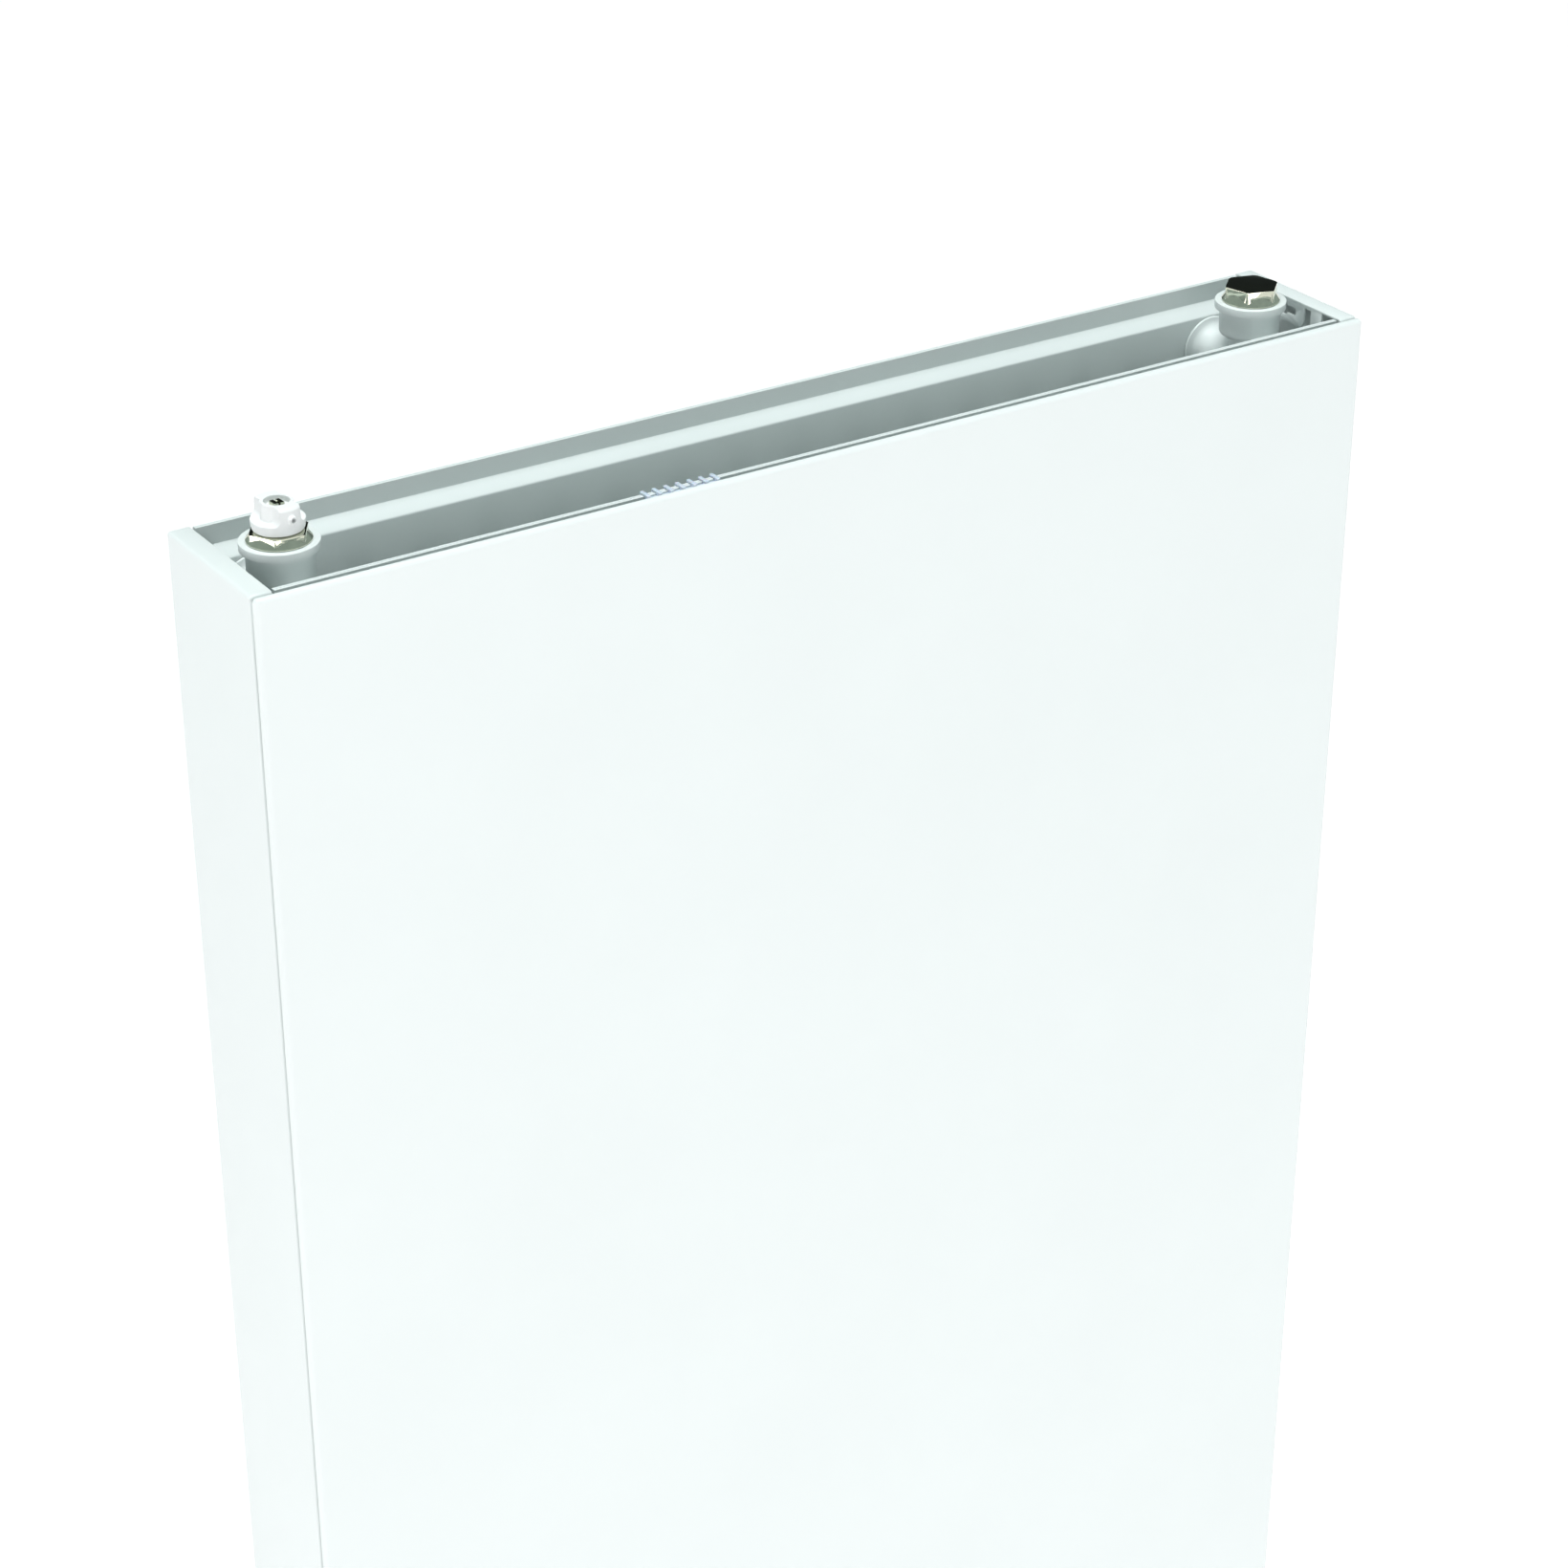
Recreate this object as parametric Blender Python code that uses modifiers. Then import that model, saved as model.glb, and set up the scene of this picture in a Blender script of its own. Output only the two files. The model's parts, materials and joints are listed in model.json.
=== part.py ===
"""Tall flat-front panel radiator: two pressed water panels, four tees, side covers, blind plug and air vent.

Metres, +X along the width, +Y towards the wall, +Z up. The origin is where the wall holds the radiator: in the
middle of its width, on the wall-side face of the hanging lugs, at the underside of the upper lugs' shelves.
Depths are measured back from the front plate's face, and drops down from its top edge.
"""

from math import cos, floor, pi, radians, sin, sqrt

import bmesh
import bpy
from mathutils import Matrix

# Overall sizes
WIDTH = 0.600
HEIGHT = 1.800
PANEL_SPACING = 0.0762  # seam to seam of the two water panels
SHEET = 0.0012  # pressed steel of water panels and covers
CLEARANCE = 0.0003  # kept between pieces that touch

# Front plate: a flat pan with short folded edges
PLATE_THICKNESS = 0.0012
PLATE_RETURN = 0.0030
PLATE_EDGE_RADIUS = 0.0025

# Water panels: two pressed sheets each, seam welded round the edge
OUTER_PRESSING = 0.0046  # rise of the headers and channels on the sheets that face outwards
INNER_PRESSING = 0.0070  # and on those that face each other
PANEL_SIDE_MARGIN = 0.0120  # from the front plate's side edge to the panel's
PANEL_TOP_DROP = 0.0004
SEAM_HEIGHT = 0.0098
PRESSING_SLOPE = 0.0050
HEADER_FLAT = 0.0320
CHANNEL_PITCH = 0.0333
CHANNEL_FLAT = 0.0170
CHANNEL_SLOPE = 0.0046
SIDE_SEAM = 0.0035  # flat seam beside the headers

# Side covers: trays whose flanges turn inwards
COVER_FLANGE = 0.0106
COVER_EDGE_RADIUS = 0.0017
LIP_HEIGHT = 0.0134
LIP_FRONT = 0.0192  # depth at which the lip under the top flange begins
LIP_BACK_MARGIN = 0.0137
LIP_INSET = 0.0002
LIP_SLOT_WIDTH = 0.0049
LIP_SLOT_FRONT = 0.0080  # from the lip's front end
LIP_SLOT_DROP = 0.0023
LIP_CORNER_RADIUS = 0.0050
KEYHOLE_RADIUS = 0.0034
KEYHOLE_FROM_LIP_FRONT = 0.0283
KEYHOLE_DROP = 0.0064
KEYHOLE_SLOT_HEIGHT = 0.0040
KEYHOLE_SLOT_REACH = 0.0094
TAB_REACH = 0.0050  # how far a hooking tab reaches past the flange's inner edge
TAB_JOGGLE = 0.0002
TAB_HEIGHT = 0.0400
TAB_END_MARGIN = 0.2000
TABS_PER_EDGE = 4

# Tees: a socket cup on a cross neck that joins both headers
TEE_INSET = 0.0340  # socket axis from the front plate's side edge
TEE_RISE = 0.0030  # collar above the plate's top edge
COLLAR_RADIUS = 0.0176
COLLAR_HEIGHT = 0.0037
CUP_RADIUS = 0.0150
CUP_LENGTH = 0.0180
CUP_EDGE = 0.0020
STEM_RADIUS = 0.0095
NECK_RADIUS = 0.0105
FLARE_RADIUS = 0.0150
FLARE_LENGTH = 0.0095
FLARE_RIM = 0.0015
SOCKET_BORE_RADIUS = 0.0106
SOCKET_BORE_DEPTH = 0.0140
WATER_BORE_RADIUS = 0.0070

# Hexagon fittings that close the two upper sockets
FITTING_SHANK_LENGTH = 0.0120
SEAL_HEIGHT = 0.0009
SEAL_OUTER_RADIUS = 0.0126
FITTING_FLANGE_RADIUS = 0.0144
FITTING_FLANGE = 0.0005  # height of the flange's edge, below its conical top
SKIRT_TOP_RADIUS = 0.0116  # of that cone, inside the hexagon
HEX_ACROSS_FLATS = 0.0240
PLUG_SKIRT_HEIGHT = 0.0042
PLUG_HEX_HEIGHT = 0.0071
PLUG_CORNER_AZIMUTH = -17.0
PLUG_HOLLOW_RADIUS = 0.0075
PLUG_HOLLOW_LENGTH = 0.0090
BUSH_SKIRT_HEIGHT = 0.0033
BUSH_HEX_HEIGHT = 0.0041
BUSH_CORNER_AZIMUTH = -2.0
HEX_CHAMFER = 0.0005

# Air vent: swivelling nozzle on the bush's spigot, and a square-headed vent screw
SPIGOT_RADIUS = 0.0059
SPIGOT_LENGTH = 0.0066
NOZZLE_LIFT = 0.0003  # nozzle's base above the bush's hexagon
NOZZLE_BASE_RADIUS = 0.0119
NOZZLE_TOP_RADIUS = 0.0115
NOZZLE_HEIGHT = 0.0128
NOZZLE_EDGE = 0.0005
NOZZLE_BASE_EDGE = 0.0010
NOZZLE_AZIMUTH = -85.0
NOZZLE_RING_RADIUS = 0.0071
NOZZLE_BAR_HALF_WIDTH = 0.0052
SCOOP_DEPTH = 0.0078
SCOOP_EDGE = 0.0025
RECESS_RADIUS = 0.0057
RECESS_DEPTH = 0.0028
NOZZLE_CAVITY_HEIGHT = 0.0075
SPOUT_RADIUS = 0.00175
SPOUT_BORE_RADIUS = 0.00105
SPOUT_HEIGHT = 0.0076  # above the nozzle's base
SPOUT_REACH = 0.0013  # beyond the nozzle's base radius
NOZZLE_SEAL_HEIGHT = 0.0010
NOZZLE_SEAL_LIFT = 0.0030
NOZZLE_SEAL_DEPTH = 0.0010
SCREW_RADIUS = 0.0033
SCREW_SQUARE = 0.0050
SCREW_HEAD_DROP = 0.0005  # screw's top below the nozzle's top
SCREW_HEAD_LENGTH = 0.0050
SLOT_WIDTH = 0.0010
SLOT_DEPTH = 0.0012
SCREW_SLOT_AZIMUTH = -87.0
SCREW_TIP_RADIUS = 0.0026
SCREW_TIP_HEIGHT = 0.0016
SEAT_ABOVE_FLANGE = -0.0020
AIR_BORE_RADIUS = 0.0015

# Comb clip over the front seam
COMB_CENTRE = -0.0900
COMB_TEETH = 7
COMB_PITCH = 0.0060
COMB_TOOTH = 0.0019
COMB_RISE = 0.0008
COMB_FRONT_LEG = 0.0076
COMB_REAR_LEG = 0.0056
COMB_REAR_THICKNESS = 0.0008
COMB_WINDOW_DROP = 0.0010

# Hanging lugs
LUG_THICKNESS = 0.0025
LUG_WIDTH = 0.0300
LUG_REACH = 0.0140
LUG_FOOT = 0.0320
LUG_LEG = 0.0200
LUG_BEND = 0.0010  # inside the bends
UPPER_LUG_DROP = 0.1300
LOWER_LUG_RISE = 0.1300
LUG_CHANNELS_FROM_SIDE = 2  # whole channels between a lug and the panel's side

# Fineness
ROUND_STEPS = 32
SMALL_STEPS = 24
FINE_STEPS = 16
MERGE = 0.00001
OVERLAP = 0.0010  # how far cutters and joined pieces reach past a face

# Worked-out sizes
SHEET_SEAM = SHEET + CLEARANCE / 2  # from a seam's middle to either outer face
FRONT_SEAM = PLATE_THICKNESS + CLEARANCE + OUTER_PRESSING + SHEET_SEAM
REAR_SEAM = FRONT_SEAM + PANEL_SPACING
TOTAL_DEPTH = REAR_SEAM + SHEET_SEAM + OUTER_PRESSING + CLEARANCE + LUG_REACH
PANEL_WIDTH = WIDTH - 2 * PANEL_SIDE_MARGIN
PANEL_HEIGHT = HEIGHT - 2 * PANEL_TOP_DROP
HEADER_HALF_WIDTH = PANEL_WIDTH / 2 - SIDE_SEAM - CHANNEL_SLOPE
CHANNEL_COUNT = floor((2 * HEADER_HALF_WIDTH - CHANNEL_FLAT) / CHANNEL_PITCH) + 1
COVER_FRONT = FRONT_SEAM - SHEET_SEAM - CLEARANCE - SHEET / 2
COVER_BACK = REAR_SEAM + SHEET_SEAM + CLEARANCE + SHEET / 2
NECK_LENGTH = PANEL_SPACING - 2 * (SHEET_SEAM + INNER_PRESSING + CLEARANCE)
NECK_DROP = PANEL_TOP_DROP + SEAM_HEIGHT + PRESSING_SLOPE + HEADER_FLAT / 2
TEE_X = WIDTH / 2 - TEE_INSET
SHANK_RADIUS = SOCKET_BORE_RADIUS - CLEARANCE
FLANGE_UNDERSIDE = TEE_RISE + CLEARANCE
FLANGE_TOP = FLANGE_UNDERSIDE + FITTING_FLANGE
BUSH_TOP = FLANGE_TOP + BUSH_HEX_HEIGHT
NOZZLE_BASE = BUSH_TOP + NOZZLE_LIFT
NOZZLE_TOP = NOZZLE_BASE + NOZZLE_HEIGHT
SCREW_TOP = NOZZLE_TOP - SCREW_HEAD_DROP
SEAT = FLANGE_UNDERSIDE + SEAT_ABOVE_FLANGE
SCREW_BORE_RADIUS = SCREW_RADIUS + CLEARANCE
GROOVE_TOP = FLANGE_UNDERSIDE + SEAL_HEIGHT + CLEARANCE
GROOVE_RADIUS = SEAL_OUTER_RADIUS + CLEARANCE


def y_at(depth):
    """World Y of a depth behind the front plate's face."""
    return depth - TOTAL_DEPTH


def z_at(drop):
    """World Z of a drop below the front plate's top edge."""
    return UPPER_LUG_DROP - drop


MIDDLE_DEPTH = (FRONT_SEAM + REAR_SEAM) / 2
TOP = z_at(0)


# ---------------------------------------------------------------- scene and materials


def clear_scene():
    for obj in list(bpy.data.objects):
        bpy.data.objects.remove(obj)


def collection(name):
    made = bpy.data.collections.new(name)
    bpy.context.scene.collection.children.link(made)
    return made


def material(name, colour, roughness, metallic):
    made = bpy.data.materials.new(name)
    made.use_nodes = True
    shader = made.node_tree.nodes["Principled BSDF"]
    shader.inputs["Base Color"].default_value = (*colour, 1.0)
    shader.inputs["Roughness"].default_value = roughness
    shader.inputs["Metallic"].default_value = metallic
    return made


clear_scene()
PARTS = collection("flat_panel_radiator")
CUTTERS = collection("cutters")
WHITE_PAINT = material("white_paint", (0.90, 0.92, 0.92), 0.35, 0.0)
NICKEL = material("nickel_plated_brass", (0.72, 0.70, 0.62), 0.12, 1.0)
WHITE_PLASTIC = material("white_plastic", (0.90, 0.91, 0.91), 0.40, 0.0)
BLACK_RUBBER = material("black_rubber", (0.02, 0.02, 0.02), 0.60, 0.0)
PALE_PLASTIC = material("pale_plastic", (0.72, 0.78, 0.88), 0.40, 0.0)


# ---------------------------------------------------------------- modelling helpers


def place(name, mesh, location=(0, 0, 0), finish=None, helper=False):
    """Links a mesh as an object: a part, or a helper that only cuts or joins."""
    obj = bpy.data.objects.new(name, mesh)
    (CUTTERS if helper else PARTS).objects.link(obj)
    obj.location = location
    if helper:
        obj.hide_render = True
        obj.display_type = "WIRE"
    else:
        mesh.materials.append(finish)
    return obj


def mesh_of(bm, name):
    mesh = bpy.data.meshes.new(name)
    bm.to_mesh(mesh)
    bm.free()
    return mesh


def block(name, low, high, finish=None, helper=False, edge=0.0):
    """A box between two corners, its edges rounded by edge."""
    bm = bmesh.new()
    bmesh.ops.create_cube(bm, size=1.0)
    size = [b - a for a, b in zip(low, high)]
    bmesh.ops.scale(bm, vec=size, verts=bm.verts)
    centre = [(a + b) / 2 for a, b in zip(low, high)]
    obj = place(name, mesh_of(bm, name), centre, finish, helper)
    if edge:
        bevel = obj.modifiers.new("rounded edges", "BEVEL")
        bevel.width = edge
        bevel.segments = 2
    return obj


def rod(name, radius, length, location, along="Z", steps=SMALL_STEPS, helper=True, finish=None):
    """A cylinder centred on location, along a world axis."""
    bm = bmesh.new()
    bmesh.ops.create_cone(
        bm, cap_ends=True, segments=steps, radius1=radius, radius2=radius, depth=length
    )
    turn = {"X": Matrix.Rotation(pi / 2, 4, "Y"), "Y": Matrix.Rotation(pi / 2, 4, "X"), "Z": Matrix()}
    bmesh.ops.transform(bm, matrix=turn[along], verts=bm.verts)
    return place(name, mesh_of(bm, name), location, finish, helper)


def hexagon(name, across_flats, low, high, corner_azimuth, location):
    """A hexagonal prism standing on Z = low, one corner at corner_azimuth degrees."""
    bm = bmesh.new()
    radius = across_flats / sqrt(3)
    bmesh.ops.create_cone(bm, cap_ends=True, segments=6, radius1=radius, radius2=radius, depth=high - low)
    first_corner = 30.0
    turn = Matrix.Rotation(radians(corner_azimuth - first_corner), 4, "Z")
    lift = Matrix.Translation((0, 0, (low + high) / 2))
    bmesh.ops.transform(bm, matrix=lift @ turn, verts=bm.verts)
    return place(name, mesh_of(bm, name), location, helper=True)


def turned(name, profile, location, finish=None, helper=False, steps=ROUND_STEPS, ring=False, along="Z"):
    """A solid turned about its own axis. The profile is (radius, height), down the outside; a ring's is closed."""
    mesh = bpy.data.meshes.new(name)
    points = [(radius, 0.0, height) for radius, height in profile]
    edges = [(i, i + 1) for i in range(len(points) - 1)]
    if ring:
        edges.append((len(points) - 1, 0))
    mesh.from_pydata(points, edges, [])
    obj = place(name, mesh, location, finish, helper)
    if along == "Y":
        obj.rotation_euler = (pi / 2, 0, 0)
    screw = obj.modifiers.new("turn", "SCREW")
    screw.steps = steps
    screw.render_steps = steps
    screw.use_merge_vertices = True
    screw.merge_threshold = MERGE
    screw.use_smooth_shade = False
    return obj


def arc(centre, radius, start, end, steps):
    """Points of an arc between two angles in degrees."""
    angles = [radians(start + (end - start) * i / steps) for i in range(steps + 1)]
    return [(centre[0] + radius * cos(a), centre[1] + radius * sin(a)) for a in angles]


def flat_outline(name, outlines, thickness, finish=None, helper=False):
    """A flat piece in its own XY plane, from an outline and the outlines of its holes, made a mesh."""
    curve = bpy.data.curves.new(name, "CURVE")
    curve.dimensions = "2D"
    curve.fill_mode = "BOTH"
    curve.extrude = thickness / 2
    for outline in outlines:
        spline = curve.splines.new("POLY")
        spline.points.add(len(outline) - 1)
        for point, (x, y) in zip(spline.points, outline):
            point.co = (x, y, 0, 1)
        spline.use_cyclic_u = True
    drawn = bpy.data.objects.new(name + "_outline", curve)
    CUTTERS.objects.link(drawn)
    bpy.context.view_layer.update()
    graph = bpy.context.evaluated_depsgraph_get()
    mesh = bpy.data.meshes.new_from_object(drawn.evaluated_get(graph))
    bpy.data.objects.remove(drawn)
    bm = bmesh.new()
    bm.from_mesh(mesh)
    bmesh.ops.remove_doubles(bm, verts=bm.verts, dist=MERGE)
    bmesh.ops.recalc_face_normals(bm, faces=bm.faces)
    bm.to_mesh(mesh)
    bm.free()
    mesh.name = name
    return place(name, mesh, finish=finish, helper=helper)


def combine(obj, other, operation):
    """Cuts other from obj, or joins it, with a Boolean."""
    modifier = obj.modifiers.new(f"{operation.lower()} {other.name}", "BOOLEAN")
    modifier.operation = operation
    modifier.solver = "EXACT"
    modifier.object = other


def cut(obj, *others):
    for other in others:
        combine(obj, other, "DIFFERENCE")


def join(obj, *others):
    for other in others:
        combine(obj, other, "UNION")


def tray(name, width, height, returned, radius, thickness, finish):
    """A sheet in its own XY plane whose four edges are folded back along -Z, with rounded folds."""
    bm = bmesh.new()
    bmesh.ops.create_grid(bm, x_segments=1, y_segments=1, size=0.5)
    bmesh.ops.scale(bm, vec=(width, height, 1), verts=bm.verts)
    rim = bmesh.ops.extrude_edge_only(bm, edges=bm.edges[:])
    folded = [v for v in rim["geom"] if isinstance(v, bmesh.types.BMVert)]
    bmesh.ops.translate(bm, vec=(0, 0, -returned), verts=folded)
    bmesh.ops.recalc_face_normals(bm, faces=bm.faces)
    if sum(face.normal.z for face in bm.faces) < 0:
        bmesh.ops.reverse_faces(bm, faces=bm.faces)
    folds = [e for e in bm.edges if len(e.link_faces) == 2]
    bmesh.ops.bevel(bm, geom=folds, offset=radius, segments=3, profile=0.5, affect="EDGES")
    obj = place(name, mesh_of(bm, name), finish=finish)
    solidify = obj.modifiers.new("sheet", "SOLIDIFY")
    solidify.thickness = thickness
    solidify.offset = -1
    solidify.use_even_offset = True
    return obj


# ---------------------------------------------------------------- plates, panels and covers


def front_plate():
    plate = tray(
        "front_plate", WIDTH, HEIGHT, PLATE_RETURN, PLATE_EDGE_RADIUS, PLATE_THICKNESS, WHITE_PAINT
    )
    plate.rotation_euler = (pi / 2, 0, 0)
    plate.location = (0, y_at(0), z_at(HEIGHT / 2))


def channel_centres():
    first = -(CHANNEL_COUNT - 1) / 2 * CHANNEL_PITCH
    return [first + i * CHANNEL_PITCH for i in range(CHANNEL_COUNT)]


def pressing_height(x, y):
    """0 on seams and lands, 1 on headers and channels, at a point on one of the pressing's fold lines."""
    tiny = MERGE / 10
    from_edge = PANEL_HEIGHT / 2 - abs(y)
    header_start = SEAM_HEIGHT + PRESSING_SLOPE
    header_end = header_start + HEADER_FLAT
    half = CHANNEL_FLAT / 2
    if abs(x) > HEADER_HALF_WIDTH + tiny or from_edge < header_start - tiny:
        return 0
    if from_edge < header_end + tiny:
        return 1
    on_channel = any(abs(x - centre) < half + tiny for centre in channel_centres())
    return 1 if on_channel else 0


def pressed_sheet(name, seam_depth, to_wall, rise, ports=()):
    """One sheet of a water panel: flat seam, a header at each end and channels between them."""
    bm = bmesh.new()
    bmesh.ops.create_grid(bm, x_segments=1, y_segments=1, size=0.5)
    bmesh.ops.scale(bm, vec=(PANEL_WIDTH, PANEL_HEIGHT, 1), verts=bm.verts)
    half, slope = CHANNEL_FLAT / 2, CHANNEL_SLOPE
    offsets = (-half - slope, -half, half, half + slope)
    fold_x = [centre + offset for centre in channel_centres() for offset in offsets]
    fold_x += [side * (HEADER_HALF_WIDTH + more) for side in (-1, 1) for more in (0, slope)]
    drops = [SEAM_HEIGHT, SEAM_HEIGHT + PRESSING_SLOPE]
    drops += [drops[1] + HEADER_FLAT, drops[1] + HEADER_FLAT + PRESSING_SLOPE]
    fold_y = [side * (PANEL_HEIGHT / 2 - drop) for drop in drops for side in (1, -1)]
    for x in fold_x:
        everything = bm.verts[:] + bm.edges[:] + bm.faces[:]
        bmesh.ops.bisect_plane(bm, geom=everything, plane_co=(x, 0, 0), plane_no=(1, 0, 0))
    for y in fold_y:
        everything = bm.verts[:] + bm.edges[:] + bm.faces[:]
        bmesh.ops.bisect_plane(bm, geom=everything, plane_co=(0, y, 0), plane_no=(0, 1, 0))
    for vert in bm.verts:
        vert.co.z = rise * pressing_height(vert.co.x, vert.co.y)
    sheet = place(name, mesh_of(bm, name), finish=WHITE_PAINT)
    outwards = 1 if to_wall else -1
    sheet.rotation_euler = (pi / 2, 0, pi if to_wall else 0)
    sheet.location = (0, y_at(seam_depth + outwards * CLEARANCE / 2), z_at(HEIGHT / 2))
    solidify = sheet.modifiers.new("sheet", "SOLIDIFY")
    solidify.thickness = SHEET
    solidify.offset = 1
    solidify.use_even_offset = True
    cut(sheet, *ports)


def port_cutters():
    """A rod through both inner sheets at each tee."""
    length = NECK_LENGTH + 2 * (CLEARANCE + SHEET + OVERLAP)
    return [
        rod(
            f"port_{x:+.3f}_{z:+.3f}", WATER_BORE_RADIUS, length, (x, y_at(MIDDLE_DEPTH), z), "Y",
            FINE_STEPS,
        )
        for x in (-TEE_X, TEE_X)
        for z in (z_at(NECK_DROP), z_at(HEIGHT - NECK_DROP))
    ]


def lip_outlines():
    """The lip under a cover's end flange: slot open at the bottom, rounded corner beside it, keyhole.

    X runs back from the lip's front end and Y down from half way through the flange.
    """
    length = COVER_BACK - LIP_BACK_MARGIN - LIP_FRONT
    top, bottom = SHEET / 2, LIP_HEIGHT
    slot_back = LIP_SLOT_FRONT + LIP_SLOT_WIDTH
    corner = (slot_back + LIP_CORNER_RADIUS, bottom - LIP_CORNER_RADIUS)
    outline = [(0, top), (0, bottom), (LIP_SLOT_FRONT, bottom), (LIP_SLOT_FRONT, LIP_SLOT_DROP)]
    outline += [(slot_back, LIP_SLOT_DROP)]
    outline += arc(corner, LIP_CORNER_RADIUS, 180, 90, 5)
    outline += [(length, bottom), (length, top)]
    half = KEYHOLE_SLOT_HEIGHT / 2
    neck = 180 - 36
    x, y = KEYHOLE_FROM_LIP_FRONT, KEYHOLE_DROP
    end = x - KEYHOLE_SLOT_REACH + half
    keyhole = arc((x, y), KEYHOLE_RADIUS, -neck, neck, 12) + arc((end, y), half, 90, 270, 6)
    return [outline, keyhole]


def cover(name, side):
    """A side cover, side being -1 for left and 1 for right."""
    depth = COVER_BACK - COVER_FRONT
    made = tray(name, depth, HEIGHT, COVER_FLANGE, COVER_EDGE_RADIUS, SHEET, WHITE_PAINT)
    made.rotation_euler = (pi / 2, 0, side * pi / 2)
    made.location = (side * WIDTH / 2, y_at((COVER_FRONT + COVER_BACK) / 2), z_at(HEIGHT / 2))
    inner_edge = WIDTH / 2 - COVER_FLANGE
    lip_x = side * (inner_edge + LIP_INSET + SHEET / 2)
    for end, z, tilt in (("top", TOP, -pi / 2), ("bottom", z_at(HEIGHT), pi / 2)):
        lip = flat_outline(f"{name}_{end}_lip", lip_outlines(), SHEET, helper=True)
        stand = Matrix.Rotation(pi / 2, 4, "Z") @ Matrix.Rotation(tilt, 4, "X")
        lip.matrix_world = Matrix.Translation((lip_x, y_at(LIP_FRONT), z)) @ stand
        join(made, lip)
    tab_inner = side * (inner_edge - TAB_REACH)
    tab_outer = side * (inner_edge + OVERLAP)
    thin = SHEET / 2 + TAB_JOGGLE
    step = (HEIGHT - 2 * TAB_END_MARGIN) / (TABS_PER_EDGE - 1)
    for edge, depth_low in (("front", COVER_FRONT - TAB_JOGGLE), ("rear", COVER_BACK - SHEET / 2)):
        for i in range(TABS_PER_EDGE):
            z = z_at(TAB_END_MARGIN + i * step)
            low = (min(tab_inner, tab_outer), y_at(depth_low), z - TAB_HEIGHT / 2)
            high = (max(tab_inner, tab_outer), y_at(depth_low + thin), z + TAB_HEIGHT / 2)
            join(made, block(f"{name}_{edge}_tab_{i + 1}", low, high, helper=True))


# ---------------------------------------------------------------- tees and fittings


def tee(name, side, end):
    """A tee, with its socket up for end 1 and down for end -1."""
    neck_z = z_at(NECK_DROP if end > 0 else HEIGHT - NECK_DROP)
    centre = (side * TEE_X, y_at(MIDDLE_DEPTH), neck_z)
    half = NECK_LENGTH / 2
    waist = FLARE_RADIUS - NECK_RADIUS
    bell = FLARE_LENGTH - FLARE_RIM
    flare = [
        (NECK_RADIUS + waist * (1 - sin(radians(a))), half - FLARE_RIM - bell * (1 - cos(radians(a))))
        for a in (0, 20, 40, 60, 90)
    ]
    one_end = [(FLARE_RADIUS, half)] + flare
    profile = [(0, half)] + one_end + [(r, -h) for r, h in reversed(one_end)] + [(0, -half)]
    neck = turned(name, profile, centre, WHITE_PAINT, steps=SMALL_STEPS, along="Y")
    mouth = NECK_DROP + TEE_RISE
    cup_bottom = mouth - CUP_LENGTH
    cup = [(0, mouth), (COLLAR_RADIUS, mouth), (COLLAR_RADIUS, mouth - COLLAR_HEIGHT)]
    cup += [(CUP_RADIUS, mouth - COLLAR_HEIGHT)]
    cup += [(CUP_RADIUS, cup_bottom + CUP_EDGE), (CUP_RADIUS - CUP_EDGE, cup_bottom)]
    cup += [(STEM_RADIUS, cup_bottom), (STEM_RADIUS, 0), (0, 0)]
    floor_height = mouth - SOCKET_BORE_DEPTH
    bore = [(0, mouth + OVERLAP), (SOCKET_BORE_RADIUS, mouth + OVERLAP), (SOCKET_BORE_RADIUS, floor_height)]
    bore += [(WATER_BORE_RADIUS, floor_height), (WATER_BORE_RADIUS, 0), (0, 0)]
    socket = turned(name + "_cup", cup, centre, helper=True, steps=SMALL_STEPS)
    hole = turned(name + "_bore", bore, centre, helper=True, steps=SMALL_STEPS)
    if end < 0:
        socket.rotation_euler = (pi, 0, 0)
        hole.rotation_euler = (pi, 0, 0)
    length = NECK_LENGTH + 2 * OVERLAP
    through = rod(name + "_through", WATER_BORE_RADIUS, length, centre, "Y", FINE_STEPS)
    join(neck, socket)
    cut(neck, hole, through)


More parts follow.
